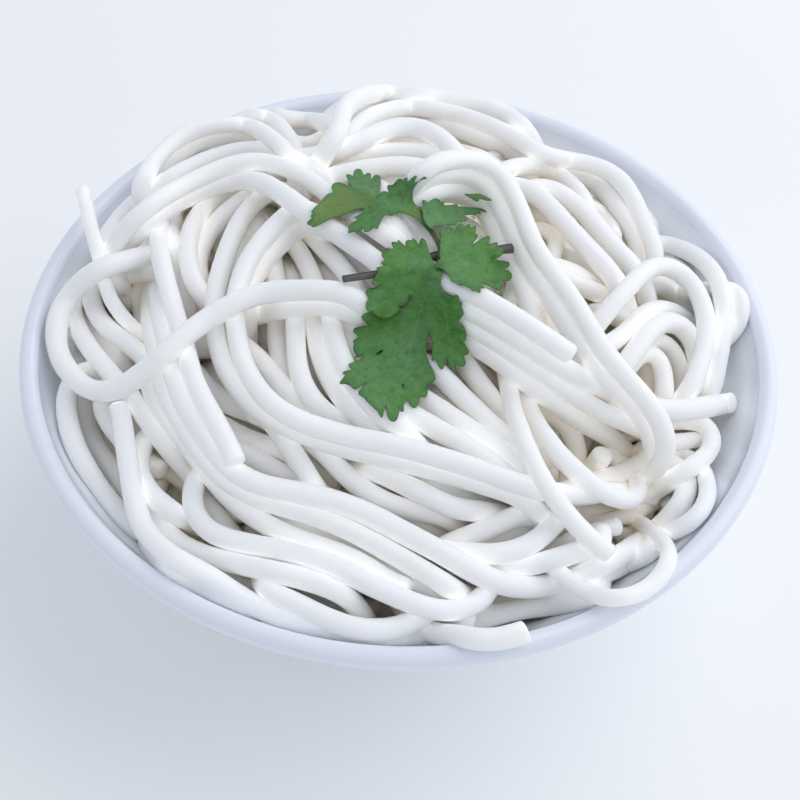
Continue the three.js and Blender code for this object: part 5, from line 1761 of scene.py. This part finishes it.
def bowl_material():
    m = Nodes("glaze_white")
    ob = m.coords()
    cloud = m.noise(ob, 22.0, 3.0, 0.55)
    base = m.mix(m.grey(cloud, [(0.3, 0.0), (0.7, 1.0)]), (0.895, 0.925, 0.965), (0.915, 0.937, 0.972))
    # painted light: over the lip the glaze is painted cooler and a little darker, the bluish sky light on the rim put
    # into its colour
    high = m.t.nodes.new("ShaderNodeSeparateXYZ")
    m.link(ob, high.inputs[0])
    lip = m.math("MULTIPLY", m.math("SUBTRACT", high.outputs[2], (LIP_Z - 3.5) * MM), 1 / (4.5 * MM))
    base = m.mix(m.grey(lip, [(0.0, 0.0), (1.0, 1.0)]), base, (0.825, 0.845, 0.930))
    # a few tiny iron specks in the glaze
    v = m.t.nodes.new("ShaderNodeTexVoronoi")
    v.inputs["Scale"].default_value = 95.0
    v.inputs["Randomness"].default_value = 1.0
    m.link(ob, v.inputs["Vector"])
    pick = m.math("GREATER_THAN", m.math("MULTIPLY", m.noise(ob, 61.0, 1.0), 1.0), 0.655)
    dot = m.math("LESS_THAN", v.outputs["Distance"], 0.075)
    speck = m.math("MULTIPLY", pick, dot)
    m.link(m.mix(m.math("MULTIPLY", speck, 0.6), base, (0.33, 0.29, 0.27)), m.bsdf.inputs["Base Color"])
    m.link(m.grey(m.noise(ob, 90.0, 3.0, 0.6), [(0.3, 0.12), (0.7, 0.20)]), m.bsdf.inputs["Roughness"])
    n1 = m.bump(m.noise(ob, 35.0, 2.0), 0.00025, 1.0)
    n2 = m.bump(m.noise(ob, 900.0, 2.0), 0.00001, 1.0, n1)
    m.link(n2, m.bsdf.inputs["Normal"])
    m.set(IOR=1.5, Coat_Weight=0.3, Coat_Roughness=0.06)
    return m.mat


# ============================================================ build: the bowl
def make_bowl():
    prof = np.array(bowl_profile())
    segs = 240
    a = np.arange(segs) * 2 * math.pi / segs
    k = len(prof)
    wob_r = 0.75 * np.cos(2 * (a + 0.35)) - 0.45 + 0.07 * np.cos(3 * a + 2.0) + 0.03 * np.cos(7 * a)
    wob_z = 0.12 * np.cos(3 * a + 1.0) + 0.06 * np.cos(5 * a + 2.2)
    verts = [(0, 0, prof[0, 1])]
    mid = prof[1:-1]
    up = np.clip(mid[:, 1] / BOWL_HEIGHT, 0, 1) ** 2
    for (r, z), w in zip(mid, up):
        rr = r + wob_r * w * 0.9 - 0.1 * w
        zz = z + (wob_z - 0.18) * w
        verts += list(zip(rr * np.cos(a), rr * np.sin(a), zz + 0 * a))
    verts.append((0, 0, prof[-1, 1]))
    n = len(mid)
    faces = []
    for j in range(segs):
        q = (j + 1) % segs
        faces.append((0, 1 + q, 1 + j))
        for i in range(n - 1):
            b = 1 + i * segs
            faces.append((b + j, b + q, b + segs + q, b + segs + j))
        b = 1 + (n - 1) * segs
        faces.append((len(verts) - 1, b + j, b + q))
    ob = new_mesh("bowl_glazed", verts, faces)
    ob.data.materials.append(bowl_material())
    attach(ob, "root")
    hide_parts("bowl")
    return ob


# ============================================================ build: the noodles
def make_core():
    """What the deepest gaps show: packed strands as relief on a smaller core."""
    segs, rings = 160, 46
    rng = np.random.default_rng(3)

    def top(x, y):
        z = heap_z(x, y) - NOODLE * 3.6
        ridge = np.abs(np.sin((x * 0.75 + y * 0.35 + 6 * np.sin(y * 0.05)) * math.pi / NOODLE / 1.0))
        return z + 1.2 * np.sqrt(ridge)

    verts = [(0, 0, float(top(0.0, 0.0)))]
    a = np.arange(segs) * 2 * math.pi / segs
    ez = edge_z(a) - NOODLE * 3.4
    er = inner_radius(ez) - 1.2
    for i in range(1, rings + 1):
        t = math.sin(math.pi / 2 * i / rings)
        x, y = t * er * np.cos(a), t * er * np.sin(a)
        z = np.minimum(top(x, y), 200)
        if i == rings:
            z = ez
        verts += list(zip(x, y, z))
    low = 20
    for i in range(low - 1, 0, -1):
        t = i / low
        x, y = t * er * np.cos(a) * 0.985, t * er * np.sin(a) * 0.985
        verts += list(zip(x, y, inner_z(np.hypot(x, y)) + 0.6))
    verts.append((0, 0, FLOOR_Z + 0.6))
    n = rings + low - 1
    faces = []
    for j in range(segs):
        q = (j + 1) % segs
        faces.append((0, 1 + j, 1 + q))
        for i in range(n - 1):
            b = 1 + i * segs
            faces.append((b + j, b + segs + j, b + segs + q, b + q))
        b = 1 + (n - 1) * segs
        faces.append((len(verts) - 1, b + q, b + j))
    ob = new_mesh("noodle_core", verts, faces)
    # depth 1 all over: the core gets the darkest, warmest painted shade of the noodle material
    at = ob.data.attributes.new("depth", "FLOAT", "POINT")
    at.data.foreach_set("value", np.full(len(verts), 1.0, np.float32))
    at = ob.data.attributes.new("tone", "FLOAT", "POINT")
    at.data.foreach_set("value", np.full(len(verts), 0.5, np.float32))
    return ob


# ============================================================ build: the coriander
def line_distance(p, line):
    """Distance of points from a polyline, and how far along it (0 to 1) the nearest place is."""
    line = np.asarray(line, float)
    a, b = line[:-1], line[1:]
    ab = b - a
    long2 = (ab**2).sum(1)
    seg = np.concatenate([[0], np.cumsum(np.sqrt(long2))])
    t = np.clip(((p[:, None, :] - a[None]) * ab[None]).sum(2) / np.maximum(long2, 1e-9), 0, 1)
    d = np.linalg.norm(p[:, None, :] - (a[None] + t[..., None] * ab[None]), axis=2)
    k = d.argmin(1)
    n = np.arange(len(p))
    return d[n, k], (seg[k] + t[n, k] * np.sqrt(long2[k])) / seg[-1]


def within(p, loops):
    """Which points lie inside the loops, by counting crossings."""
    odd = np.zeros(len(p), bool)
    for loop in loops:
        a = np.asarray(loop, float)
        b = np.roll(a, -1, axis=0)
        for s in range(0, len(p), 4000):
            x, y = p[s:s + 4000, 0][:, None], p[s:s + 4000, 1][:, None]
            cut = (a[None, :, 1] > y) != (b[None, :, 1] > y)
            with np.errstate(divide="ignore", invalid="ignore"):
                xc = a[None, :, 0] + (y - a[None, :, 1]) * (b[None, :, 0] - a[None, :, 0]) / (b[None, :, 1] - a[None, :, 1])
            odd[s:s + 4000] ^= (np.where(cut, xc > x, False).sum(1) % 2).astype(bool)
    return odd


def soft_outline(points, step):
    """A closed line through the points: round teeth, sharp notches."""
    p = np.asarray(points, float)
    if ((p[:, 0] * np.roll(p[:, 1], -1) - np.roll(p[:, 0], -1) * p[:, 1]).sum()) < 0:
        p = p[::-1]
    before, after = p - np.roll(p, 1, axis=0), np.roll(p, -1, axis=0) - p
    lb, la = np.linalg.norm(before, axis=1), np.linalg.norm(after, axis=1)
    db, da = before / lb[:, None], after / la[:, None]
    turn = np.arctan2(db[:, 0] * da[:, 1] - db[:, 1] * da[:, 0], (db * da).sum(1))
    mid = db * la[:, None] + da * lb[:, None]
    mid /= np.linalg.norm(mid, axis=1)[:, None] + 1e-9
    notch = turn < -0.75
    out = []
    for i in range(len(p)):
        j = (i + 1) % len(p)
        n = max(1, int(math.ceil(la[i] / step)))
        t = (np.arange(n) / n)[:, None]
        m0 = (da[i] if notch[i] else mid[i]) * la[i]
        m1 = (db[j] if notch[j] else mid[j]) * la[i]
        out.append(
            (2 * t**3 - 3 * t**2 + 1) * p[i] + (t**3 - 2 * t**2 + t) * m0
            + (3 * t**2 - 2 * t**3) * p[j] + (t**3 - t**2) * m1
        )
    return np.vstack(out), p[turn > 0.85]


class Drape:
    """Things laid one after another on what is already there. Each point of a new
    thing may slide only along the line to the eye, so its outline keeps its place."""

    def __init__(self, balls, radii):
        self.balls, self.radii = balls, radii

    def add(self, balls, radius):
        self.balls = np.vstack([self.balls, balls])
        self.radii = np.concatenate([self.radii, np.full(len(balls), radius)])

    def rays(self, xy):
        base = np.column_stack([xy, heap_z(xy[:, 0], xy[:, 1]) + 2.0])
        d = CAM - base
        return base, d / np.linalg.norm(d, axis=1)[:, None]

    def surface(self, base, ray, spare):
        lo, hi = base[:, :2].min(0) - 14, base[:, :2].max(0) + 14
        near = ((self.balls[:, :2] > lo) & (self.balls[:, :2] < hi)).all(1)
        c, r = self.balls[near], self.radii[near] + spare
        u = np.full(len(base), -9.0)
        for s in range(0, len(base), 2000):
            w = c[None] - base[s:s + 2000, None, :]
            along = (w * ray[s:s + 2000, None, :]).sum(2)
            side2 = (w**2).sum(2) - along**2
            u[s:s + 2000] = np.maximum(u[s:s + 2000], np.where(side2 < r[None] ** 2, along + np.sqrt(np.maximum(r[None] ** 2 - side2, 0)), -9.0).max(1))
        return u


def leaf_sheet(outline, holes, cell):
    edge_line, tips = soft_outline(outline, cell * 0.9)
    loops = [edge_line] + [soft_outline(h, cell * 0.9)[0] for h in holes]
    lo, hi = edge_line.min(0), edge_line.max(0)
    gx, gy = np.meshgrid(np.arange(lo[0], hi[0], cell), np.arange(lo[1], hi[1], cell * 0.866))
    gx = gx + (np.arange(gx.shape[0]) % 2)[:, None] * cell / 2
    g = np.column_stack([gx.ravel(), gy.ravel()])
    g = g[within(g, loops)]
    dist = np.min([line_distance(g, np.vstack([l, l[:1]]))[0] for l in loops], axis=0)
    g = g[dist > cell * 0.55]
    pts, edges = [], []
    for l in loops:
        n0 = len(pts)
        pts += [tuple(q) for q in l]
        edges += [(n0 + i, n0 + (i + 1) % len(l)) for i in range(len(l))]
    pts += [tuple(q) for q in g]
    v, _, f, _, _, _ = delaunay_2d_cdt([Vector(q) for q in pts], edges, [], 0, 1e-5, True)
    v = np.array([tuple(q) for q in v])
    f = np.array([t for t in f if len(t) == 3])
    mid = v[f].mean(1)
    f = f[within(mid, loops)]
    used = np.unique(f)
    remap = np.full(len(v), -1)
    remap[used] = np.arange(len(used))
    v, f = v[used], remap[f]
    e1, e2 = v[f[:, 1]] - v[f[:, 0]], v[f[:, 2]] - v[f[:, 0]]
    flip = (e1[:, 0] * e2[:, 1] - e1[:, 1] * e2[:, 0]) < 0
    f[flip] = f[flip][:, ::-1]
    dist = np.min([line_distance(v, np.vstack([l, l[:1]]))[0] for l in loops], axis=0)
    return v, f, dist, tips, loops


def side_veins(tips, veins, loops):
    """A finer vein from each tooth back to the nearest main vein, leaving it at a slant."""
    out = []
    for t in tips:
        best = None
        for _, line in veins:
            c = resample(np.column_stack([catmull(line, 4), np.zeros(len(line) * 4 - 3)]), 0.5)[:, :2]
            d = np.gradient(c, axis=0)
            d /= np.linalg.norm(d, axis=1)[:, None] + 1e-9
            w = t[None] - c
            far = np.linalg.norm(w, axis=1)
            ang = np.arccos(np.clip((w * d).sum(1) / np.maximum(far, 1e-6), -1, 1))
            cost = far + 7 * np.abs(ang - 0.62)
            k = cost.argmin()
            if far[k] > 0.9 and (best is None or cost[k] < best[0]):
                best = (cost[k], c[k], d[k])
        if best is None:
            continue
        _, c, d = best
        if np.linalg.norm(t - c) > 9 or not within(np.array([c + (t - c) * s for s in (0.3, 0.5, 0.7)]), loops).all():
            continue
        bend = c + (t - c) * 0.5 + d * 0.08 * np.linalg.norm(t - c)
        out.append((0.42, np.array([c, bend, t])))
    return out


def make_leaves(drape):
    cell = 0.34
    vs, fs, base_n = [], [], 0
    keep = {k: [] for k in ("vein", "cool", "pale", "rim", "painted_shadow")}
    for name in ("D", "C", "A", "B", "E"):
        leaf = LEAVES[name]
        veins = [(w, np.array(line, float)) for w, line in leaf["veins"]]
        xy, tri, rim, tips, loops = leaf_sheet(leaf["outline"], leaf["holes"], cell)
        veins = veins + side_veins(tips, veins, loops)
        vein = np.zeros(len(xy))
        spare = np.full(len(xy), 9.0)
        for w, line in veins:
            c = catmull(line, 5)
            d, t = line_distance(xy, c)
            sigma = 0.17 + 0.20 * w * (1 - t)
            vein = np.maximum(vein, w * (1 - 0.45 * t) * np.exp(-((d / sigma) ** 2)))
            spare = np.minimum(spare, d / (0.35 + w))
        base, ray = drape.rays(xy)
        floor_u = drape.surface(base, ray, 0.42)
        # a stiff skin over what lies beneath, sinking on to it
        e = np.sort(np.vstack([tri[:, [0, 1]], tri[:, [1, 2]], tri[:, [2, 0]]]), axis=1)
        e, count = np.unique(e, axis=0, return_counts=True)
        deg = np.bincount(e.ravel(), minlength=len(xy)).astype(float)

        def around(u):
            return (np.bincount(e[:, 0], u[e[:, 1]], len(xy)) + np.bincount(e[:, 1], u[e[:, 0]], len(xy))) / deg

        u = floor_u.copy()
        for k in range(700):
            u = np.maximum(around(u) - 0.0020, floor_u)
        for _ in range(10):
            u = around(u)
        u += max(0.0, float((floor_u - u).max())) * 0.35
        # blisters between the veins, and edges that curl a little
        blister = 1 - np.exp(-((spare / 1.3) ** 2))
        wave = np.sin(xy[:, 0] * 0.55 + 1.3 * np.sin(xy[:, 1] * 0.31)) * np.cos(xy[:, 1] * 0.47 + 0.8)
        u = u + 0.20 * blister + 0.30 * (wave + 1) * np.exp(-rim / 2.4) * 0.8
        # painted shadow, drawn darker in the leaf material: under the fold of A and where the stalks meet B
        painted_shadow = np.zeros(len(xy))
        pale = np.zeros(len(xy))
        cool = np.full(len(xy), 0.35)

        def zone(x, y, r, value):
            nonlocal cool
            w = np.exp(-(((xy - [x, y]) ** 2).sum(1)) / (r * r))
            cool = cool * (1 - w) + value * w

        if name == "A":
            d, t = line_distance(xy, A_FOLD)
            line = np.array(A_FOLD)
            k = ((xy[:, None, :] - line[None]) ** 2).sum(2).argmin(1)
            tang = np.gradient(line, axis=0)[k]
            side = tang[:, 0] * (xy[:, 1] - line[k, 1]) - tang[:, 1] * (xy[:, 0] - line[k, 0])
            inside = np.clip(t / 0.12, 0, 1) * np.clip((1 - t) / 0.12, 0, 1)
            lift = inside * np.exp(-d / 1.7)
            u = u + 1.0 * lift * (side > 0)
            # painted shadow on the lower side of the fold, just below the raised lobe
            painted_shadow = np.maximum(painted_shadow, inside * np.exp(-d / 1.3) * (side <= 0))
            zone(12, -20, 7.0, 0.0)
            zone(13, -10, 5.0, 0.05)
            zone(-3, 5, 7.5, 0.12)
            zone(5, 0, 4.0, 0.75)
            zone(3, -18, 5.0, 0.55)
            zone(1, -26, 7.5, 0.95)
            zone(-6, -30, 7.0, 0.90)
            zone(-12, -22, 5.0, 0.35)
            zone(-9, -11, 4.5, 0.55)
            zone(-3, -17, 3.0, 0.0)
            zone(-1, -40, 5.0, 0.55)
            zone(8, -6, 3.0, 0.8)
        elif name == "B":
            zone(20, 5, 9.0, 0.20)
            zone(12, -1, 4.0, 0.62)
            zone(14, -6, 4.0, 0.75)
            zone(24, -4, 5.0, 0.35)
            zone(13, 13, 5.0, 0.22)
            # painted shadow where the stalks meet the leaf
            painted_shadow = np.maximum(painted_shadow, 0.8 * np.exp(-(((xy - [9.0, 1.0]) ** 2).sum(1)) / 3.0))
        elif name == "C":
            cool[:] = 0.95
        elif name == "D":
            cool[:] = 0.72
            for loop in (D_PALE, D_BASE):
                inside = within(xy, [loop])
                d, _ = line_distance(xy, np.vstack([loop, loop[:1]]))
                pale = np.maximum(pale, np.clip(0.5 + np.where(inside, d, -d) / 0.7, 0, 1))
        else:
            cool[:] = 0.6
            pale[:] = 0.45
        top = base + ray * u[:, None]
        n = np.cross(top[tri[:, 1]] - top[tri[:, 0]], top[tri[:, 2]] - top[tri[:, 0]])
        nv = np.zeros_like(top)
        for k in range(3):
            np.add.at(nv, tri[:, k], n)
        nv /= np.linalg.norm(nv, axis=1)[:, None] + 1e-12
        thick = 0.14 + 0.20 * np.clip(rim / 0.5, 0, 1) + 0.10 * vein
        low = top - nv * thick[:, None]
        drape.add(top[::3], 0.30)
        # one closed solid: upper face, lower face and the rim between them
        half = len(xy)
        d3 = np.vstack([tri[:, [0, 1]], tri[:, [1, 2]], tri[:, [2, 0]]])
        key = d3.min(1).astype(np.int64) * half + d3.max(1)
        _, inv, cnt = np.unique(key, return_inverse=True, return_counts=True)
        border = d3[cnt[inv] == 1]
        wall = np.vstack([
            np.column_stack([border[:, 1], border[:, 0], border[:, 0] + half]),
            np.column_stack([border[:, 1], border[:, 0] + half, border[:, 1] + half]),
        ])
        fs.append(np.vstack([tri, tri[:, ::-1] + half, wall]) + base_n)
        vs.append(np.vstack([top, low]))
        base_n += 2 * half
        under = np.concatenate([np.zeros(half), np.ones(half)])
        for key, value in (("vein", vein), ("cool", cool), ("pale", pale), ("rim", np.exp(-rim / 0.38)), ("painted_shadow", painted_shadow)):
            keep[key].append(np.tile(value, 2) if key != "pale" else np.maximum(np.tile(value, 2), 0.75 * under))
    f = np.vstack(fs)
    ob = fast_mesh("coriander_leaves", np.vstack(vs), f.ravel(), np.full(len(f), 3), None, {k: np.concatenate(v) for k, v in keep.items()})
    return ob


def lay_stalk(drape, points, radius, ends=(None, None)):
    """A stalk on what lies beneath: stiff, touching only where something is high."""
    c = catmull(np.asarray(points, float), 10)
    c = resample(np.column_stack([c, np.zeros(len(c))]), 0.8)[:, :2]
    base, ray = drape.rays(c)
    floor_u = drape.surface(base, ray, radius + 0.05)
    u = np.full(len(c), floor_u.max() + 1.0)
    fit = np.polyfit(np.arange(len(c)), floor_u, 1)
    u = np.polyval(fit, np.arange(len(c)))
    u += (floor_u - u).max()
    for _ in range(1600):
        m = np.zeros_like(u)
        m[1:-1] = 0.5 * (u[:-2] + u[2:]) - u[1:-1]
        m2 = np.zeros_like(u)
        m2[1:-1] = 0.5 * (m[:-2] + m[2:]) - m[1:-1]
        u = u + 0.25 * m - 0.2 * m2 - 0.0015
        u = np.maximum(u, floor_u)
        for k, end in ((0, ends[0]), (-1, ends[1])):
            if end is not None:
                u[k] = end
    return base + ray * u[:, None]


def make_stalks(parts):
    """Closed tubes: (middle line, radii, how green) each, one mesh for all."""
    sides = 16
    vs, fs, green, along, painted_far_side_shading = [], [], [], [], []
    n0 = 0
    ang = np.arange(sides) * 2 * math.pi / sides
    for line, radii, tint in parts:
        tan = np.gradient(line, axis=0)
        tan /= np.linalg.norm(tan, axis=1)[:, None]
        side = np.cross(tan, [0, 0, 1.0])
        side /= np.linalg.norm(side, axis=1)[:, None]
        upv = np.cross(side, tan)
        # a shallow groove along the upper side
        a = ang[None]
        rr = radii[:, None] * (1 - 0.10 * np.exp(-((np.angle(np.exp(1j * (a - 1.75))) / 0.42) ** 2)) + 0.035 * np.cos(5 * a))
        ring = line[:, None] + rr[..., None] * (side[:, None] * np.cos(ang)[None, :, None] + upv[:, None] * np.sin(ang)[None, :, None])
        k = len(line)
        verts = np.vstack([ring.reshape(-1, 3), line[0] - tan[0] * radii[0] * 0.15, line[-1] + tan[-1] * radii[-1] * 0.15])
        r0 = np.arange(k - 1)[:, None] * sides + np.arange(sides)
        r1 = np.arange(k - 1)[:, None] * sides + (np.arange(sides) + 1) % sides
        quad = np.stack([r0, r1, r1 + sides, r0 + sides], -1).reshape(-1, 4)
        j0, j1 = np.arange(sides), (np.arange(sides) + 1) % sides
        f = np.vstack([
            quad[:, [0, 1, 2]], quad[:, [0, 2, 3]],
            np.column_stack([np.full(sides, k * sides), j1, j0]),
            np.column_stack([np.full(sides, k * sides + 1), (k - 1) * sides + j0, (k - 1) * sides + j1]),
        ])
        # outward normals whichever way the frame turned
        m = verts[f].mean(1)
        nrm = np.cross(verts[f[:, 1]] - verts[f[:, 0]], verts[f[:, 2]] - verts[f[:, 0]])
        near = line[((m[:, None] - line[None]) ** 2).sum(2).argmin(1)]
        if ((m - near) * nrm).sum() < 0:
            f = f[:, ::-1]
        fs.append(f + n0)
        vs.append(verts)
        n0 += len(verts)
        t = np.linspace(0, 1, k)
        green.append(np.concatenate([np.repeat(tint(t), sides), [tint(np.array([0.0]))[0], tint(np.array([1.0]))[0]]]))
        along.append(np.concatenate([np.repeat(t, sides), [0, 1]]))
        # painted shade: the side of each stalk turned away from the eye, towards +y, is drawn almost black in the
        # stalk material
        away = (ring - line[:, None])[..., 1] / np.maximum(radii[:, None], 1e-6)
        painted_far_side_shading.append(np.concatenate([np.clip((away.ravel() + 0.15) / 0.7, 0, 1), [0.3, 0.3]]))
    f = np.vstack(fs)
    return fast_mesh("coriander_stalks", np.vstack(vs), f.ravel(), np.full(len(f), 3), None,
                     {"green": np.concatenate(green), "along": np.concatenate(along), "painted_far_side_shading": np.concatenate(painted_far_side_shading)})


def leaf_material():
    m = Nodes("coriander_leaf")
    ob = m.coords()
    vein, cool, pale, rim, painted_shadow = (m.attribute(k).outputs["Fac"] for k in ("vein", "cool", "pale", "rim", "painted_shadow"))
    blot = m.noise(ob, 190.0, 3.0, 0.6)
    fine = m.noise(ob, 850.0, 3.0, 0.65)
    amount = m.math("ADD", cool, m.math("MULTIPLY", m.math("SUBTRACT", blot, 0.5), 0.9))
    green = m.ramp(amount, [(0.0, (0.074, 0.238, 0.026)), (0.5, (0.086, 0.232, 0.062)), (1.0, (0.115, 0.268, 0.108))])
    green = m.mix(m.grey(fine, [(0.35, 0.0), (0.72, 0.5)]), green, (0.040, 0.130, 0.026))
    patchy = m.noise(ob, 430.0, 4.0, 0.68)
    green = m.mix(m.grey(patchy, [(0.40, 0.0), (0.66, 0.55)]), green, (0.135, 0.312, 0.090))
    green = m.mix(m.grey(patchy, [(0.30, 0.5), (0.46, 0.0)]), green, (0.036, 0.120, 0.034))
    under = m.mix(m.grey(blot, [(0.3, 0.0), (0.7, 1.0)]), (0.125, 0.225, 0.040), (0.165, 0.265, 0.075))
    c = m.mix(pale, green, under)
    c = m.mix(m.math("MULTIPLY", vein, m.grey(patchy, [(0.3, 0.14), (0.7, 0.36)])), c, (0.205, 0.335, 0.180))
    c = m.mix(m.math("MULTIPLY", rim, 0.38), c, (0.045, 0.120, 0.040))
    # painted shadow: darker under A's fold and where the stalks meet B
    c = m.mix(m.math("MULTIPLY", painted_shadow, 0.75), c, (0.030, 0.090, 0.006))
    m.link(c, m.bsdf.inputs["Base Color"])
    m.link(m.grey(fine, [(0.3, 0.46), (0.7, 0.62)]), m.bsdf.inputs["Roughness"])
    v = m.t.nodes.new("ShaderNodeTexVoronoi")
    v.inputs["Scale"].default_value = 1500.0
    m.link(ob, v.inputs["Vector"])
    n1 = m.bump(v.outputs["Distance"], 0.00006, 0.9)
    n2 = m.bump(m.math("ADD", blot, m.math("MULTIPLY", patchy, 0.6)), 0.00040, 1.0, n1)
    n3 = m.bump(vein, 0.00014, 0.8, n2)
    m.link(n3, m.bsdf.inputs["Normal"])
    m.set(IOR=1.42, Specular_IOR_Level=0.42, Subsurface_Weight=0.10, Subsurface_Radius=(0.4, 1.0, 0.3), Subsurface_Scale=0.0006)
    return m.mat


def stalk_material():
    m = Nodes("coriander_stalk")
    ob = m.coords()
    green, painted_far_side_shading = (m.attribute(k).outputs["Fac"] for k in ("green", "painted_far_side_shading"))
    blot = m.noise(ob, 240.0, 3.0, 0.6)
    brown = m.mix(m.grey(blot, [(0.3, 0.0), (0.7, 1.0)]), (0.095, 0.084, 0.070), (0.160, 0.150, 0.135))
    leafy = m.mix(m.grey(blot, [(0.3, 0.0), (0.7, 1.0)]), (0.055, 0.085, 0.022), (0.095, 0.130, 0.045))
    c = m.mix(green, brown, leafy)
    # painted shade: the far side of the stalk darkened almost to black
    c = m.mix(m.math("MULTIPLY", painted_far_side_shading, 0.92), c, (0.014, 0.012, 0.016))
    m.link(c, m.bsdf.inputs["Base Color"])
    m.link(m.grey(m.noise(ob, 700.0, 2.0), [(0.3, 0.42), (0.7, 0.6)]), m.bsdf.inputs["Roughness"])
    m.link(m.bump(m.noise(ob, 1100.0, 3.0, 0.6), 0.00005, 0.8), m.bsdf.inputs["Normal"])
    m.set(IOR=1.42, Specular_IOR_Level=0.35)
    return m.mat


def make_coriander(heroes):
    balls = np.vstack([resample(s["line"], 1.3) for s in heroes])
    radii = np.concatenate([np.full(len(resample(s["line"], 1.3)), s["radius"]) for s in heroes])
    near = (np.abs(balls[:, 0]) < 50) & (balls[:, 1] > -62) & (balls[:, 1] < 56)
    drape = Drape(balls[near], radii[near])
    twig = lay_stalk(drape, TWIG, 1.0)
    k = np.linspace(0, 1, len(twig))
    twig_r = 0.86 + 0.16 * k + 0.20 * np.exp(-(((k - 0.57) / 0.05) ** 2)) + 0.22 * np.clip((k - 0.86) / 0.14, 0, 1)
    drape.add(resample(twig, 0.5), 0.95)
    petiole = lay_stalk(drape, PETIOLE, 0.68)
    q = np.linspace(0, 1, len(petiole))
    drape.add(resample(petiole, 0.5)[: int(len(petiole) * 1.3)], 0.45)
    leaves = make_leaves(drape)
    stalks = make_stalks([
        (twig, twig_r, lambda t: np.exp(-(((t - 0.58) / 0.17) ** 2))),
        (petiole, 0.74 - 0.16 * q, lambda t: 0.85 + 0.15 * t),
    ])
    leaves.data.materials.append(leaf_material())
    stalks.data.materials.append(stalk_material())
    for piece in (leaves, stalks):
        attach(piece, "root")
    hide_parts("coriander_sprig")
    return leaves, stalks


make_bowl()
heroes = lay_strands()
fillers = lay_fillers(heroes)
top_piece = tubes("noodles_top", heroes, 14, 1.35, 11)
under_piece = tubes("noodles_under", fillers, 8, 2.9, 23)
core_piece = make_core()
noodle_mat = noodle_material("rice_noodle")
for piece in (top_piece, under_piece, core_piece):
    piece.data.materials.append(noodle_mat)
    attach(piece, "root")
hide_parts("noodles")
leaf_piece, stalk_piece = make_coriander(heroes)


# ============================================================ the stage
def make_stage():
    s = 2.2
    floor = new_mesh("floor", [(-s / MM, -s / MM, -0.01), (s / MM, -s / MM, -0.01), (s / MM, s / MM, -0.01), (-s / MM, s / MM, -0.01)], [(0, 1, 2, 3)], False)
    m = Nodes("floor_pale")
    c = m.mix(m.noise(m.coords(), 9.0, 3.0), (0.965, 0.965, 0.968), (0.985, 0.985, 0.985))
    m.link(c, m.bsdf.inputs["Base Color"])
    m.set(Roughness=0.7)
    floor.data.materials.append(m.mat)

    world = bpy.data.worlds.new("soft_sky")
    bpy.context.scene.world = world
    world.use_nodes = True
    bg = world.node_tree.nodes["Background"]
    bg.inputs[0].default_value = (0.86, 0.915, 1.0, 1)
    bg.inputs[1].default_value = 0.71

    def area(name, loc, target, size, power, color):
        light = bpy.data.lights.new(name, "AREA")
        light.shape = "DISK"
        light.size = size
        light.energy = power
        light.color = color
        ob = bpy.data.objects.new(name, light)
        ob.location = loc
        ob.rotation_mode = "QUATERNION"
        ob.rotation_quaternion = (Vector(target) - Vector(loc)).to_track_quat("-Z", "Y")
        bpy.context.scene.collection.objects.link(ob)

    area("key", (0.87, 0.46, 1.0), (0, 0, 0.06), 2.0, 10.0, (0.985, 0.983, 1.0))

    cam = bpy.data.cameras.new("camera")
    cam.lens = LENS
    cam.sensor_width = 36.0
    cam.clip_start, cam.clip_end = 0.01, 20
    ob = bpy.data.objects.new("camera", cam)
    rot = Matrix((CAM_RIGHT, CAM_UP, CAM_BACK)).transposed().to_4x4()
    ob.matrix_world = Matrix.Translation(Vector(CAM * MM)) @ rot
    bpy.context.scene.collection.objects.link(ob)
    bpy.context.scene.camera = ob
    bpy.context.scene.view_settings.view_transform = "Standard"
    # light goes on from strand to strand many times in a white heap
    bpy.context.scene.cycles.max_bounces = 9
    bpy.context.scene.cycles.diffuse_bounces = 7


make_stage()
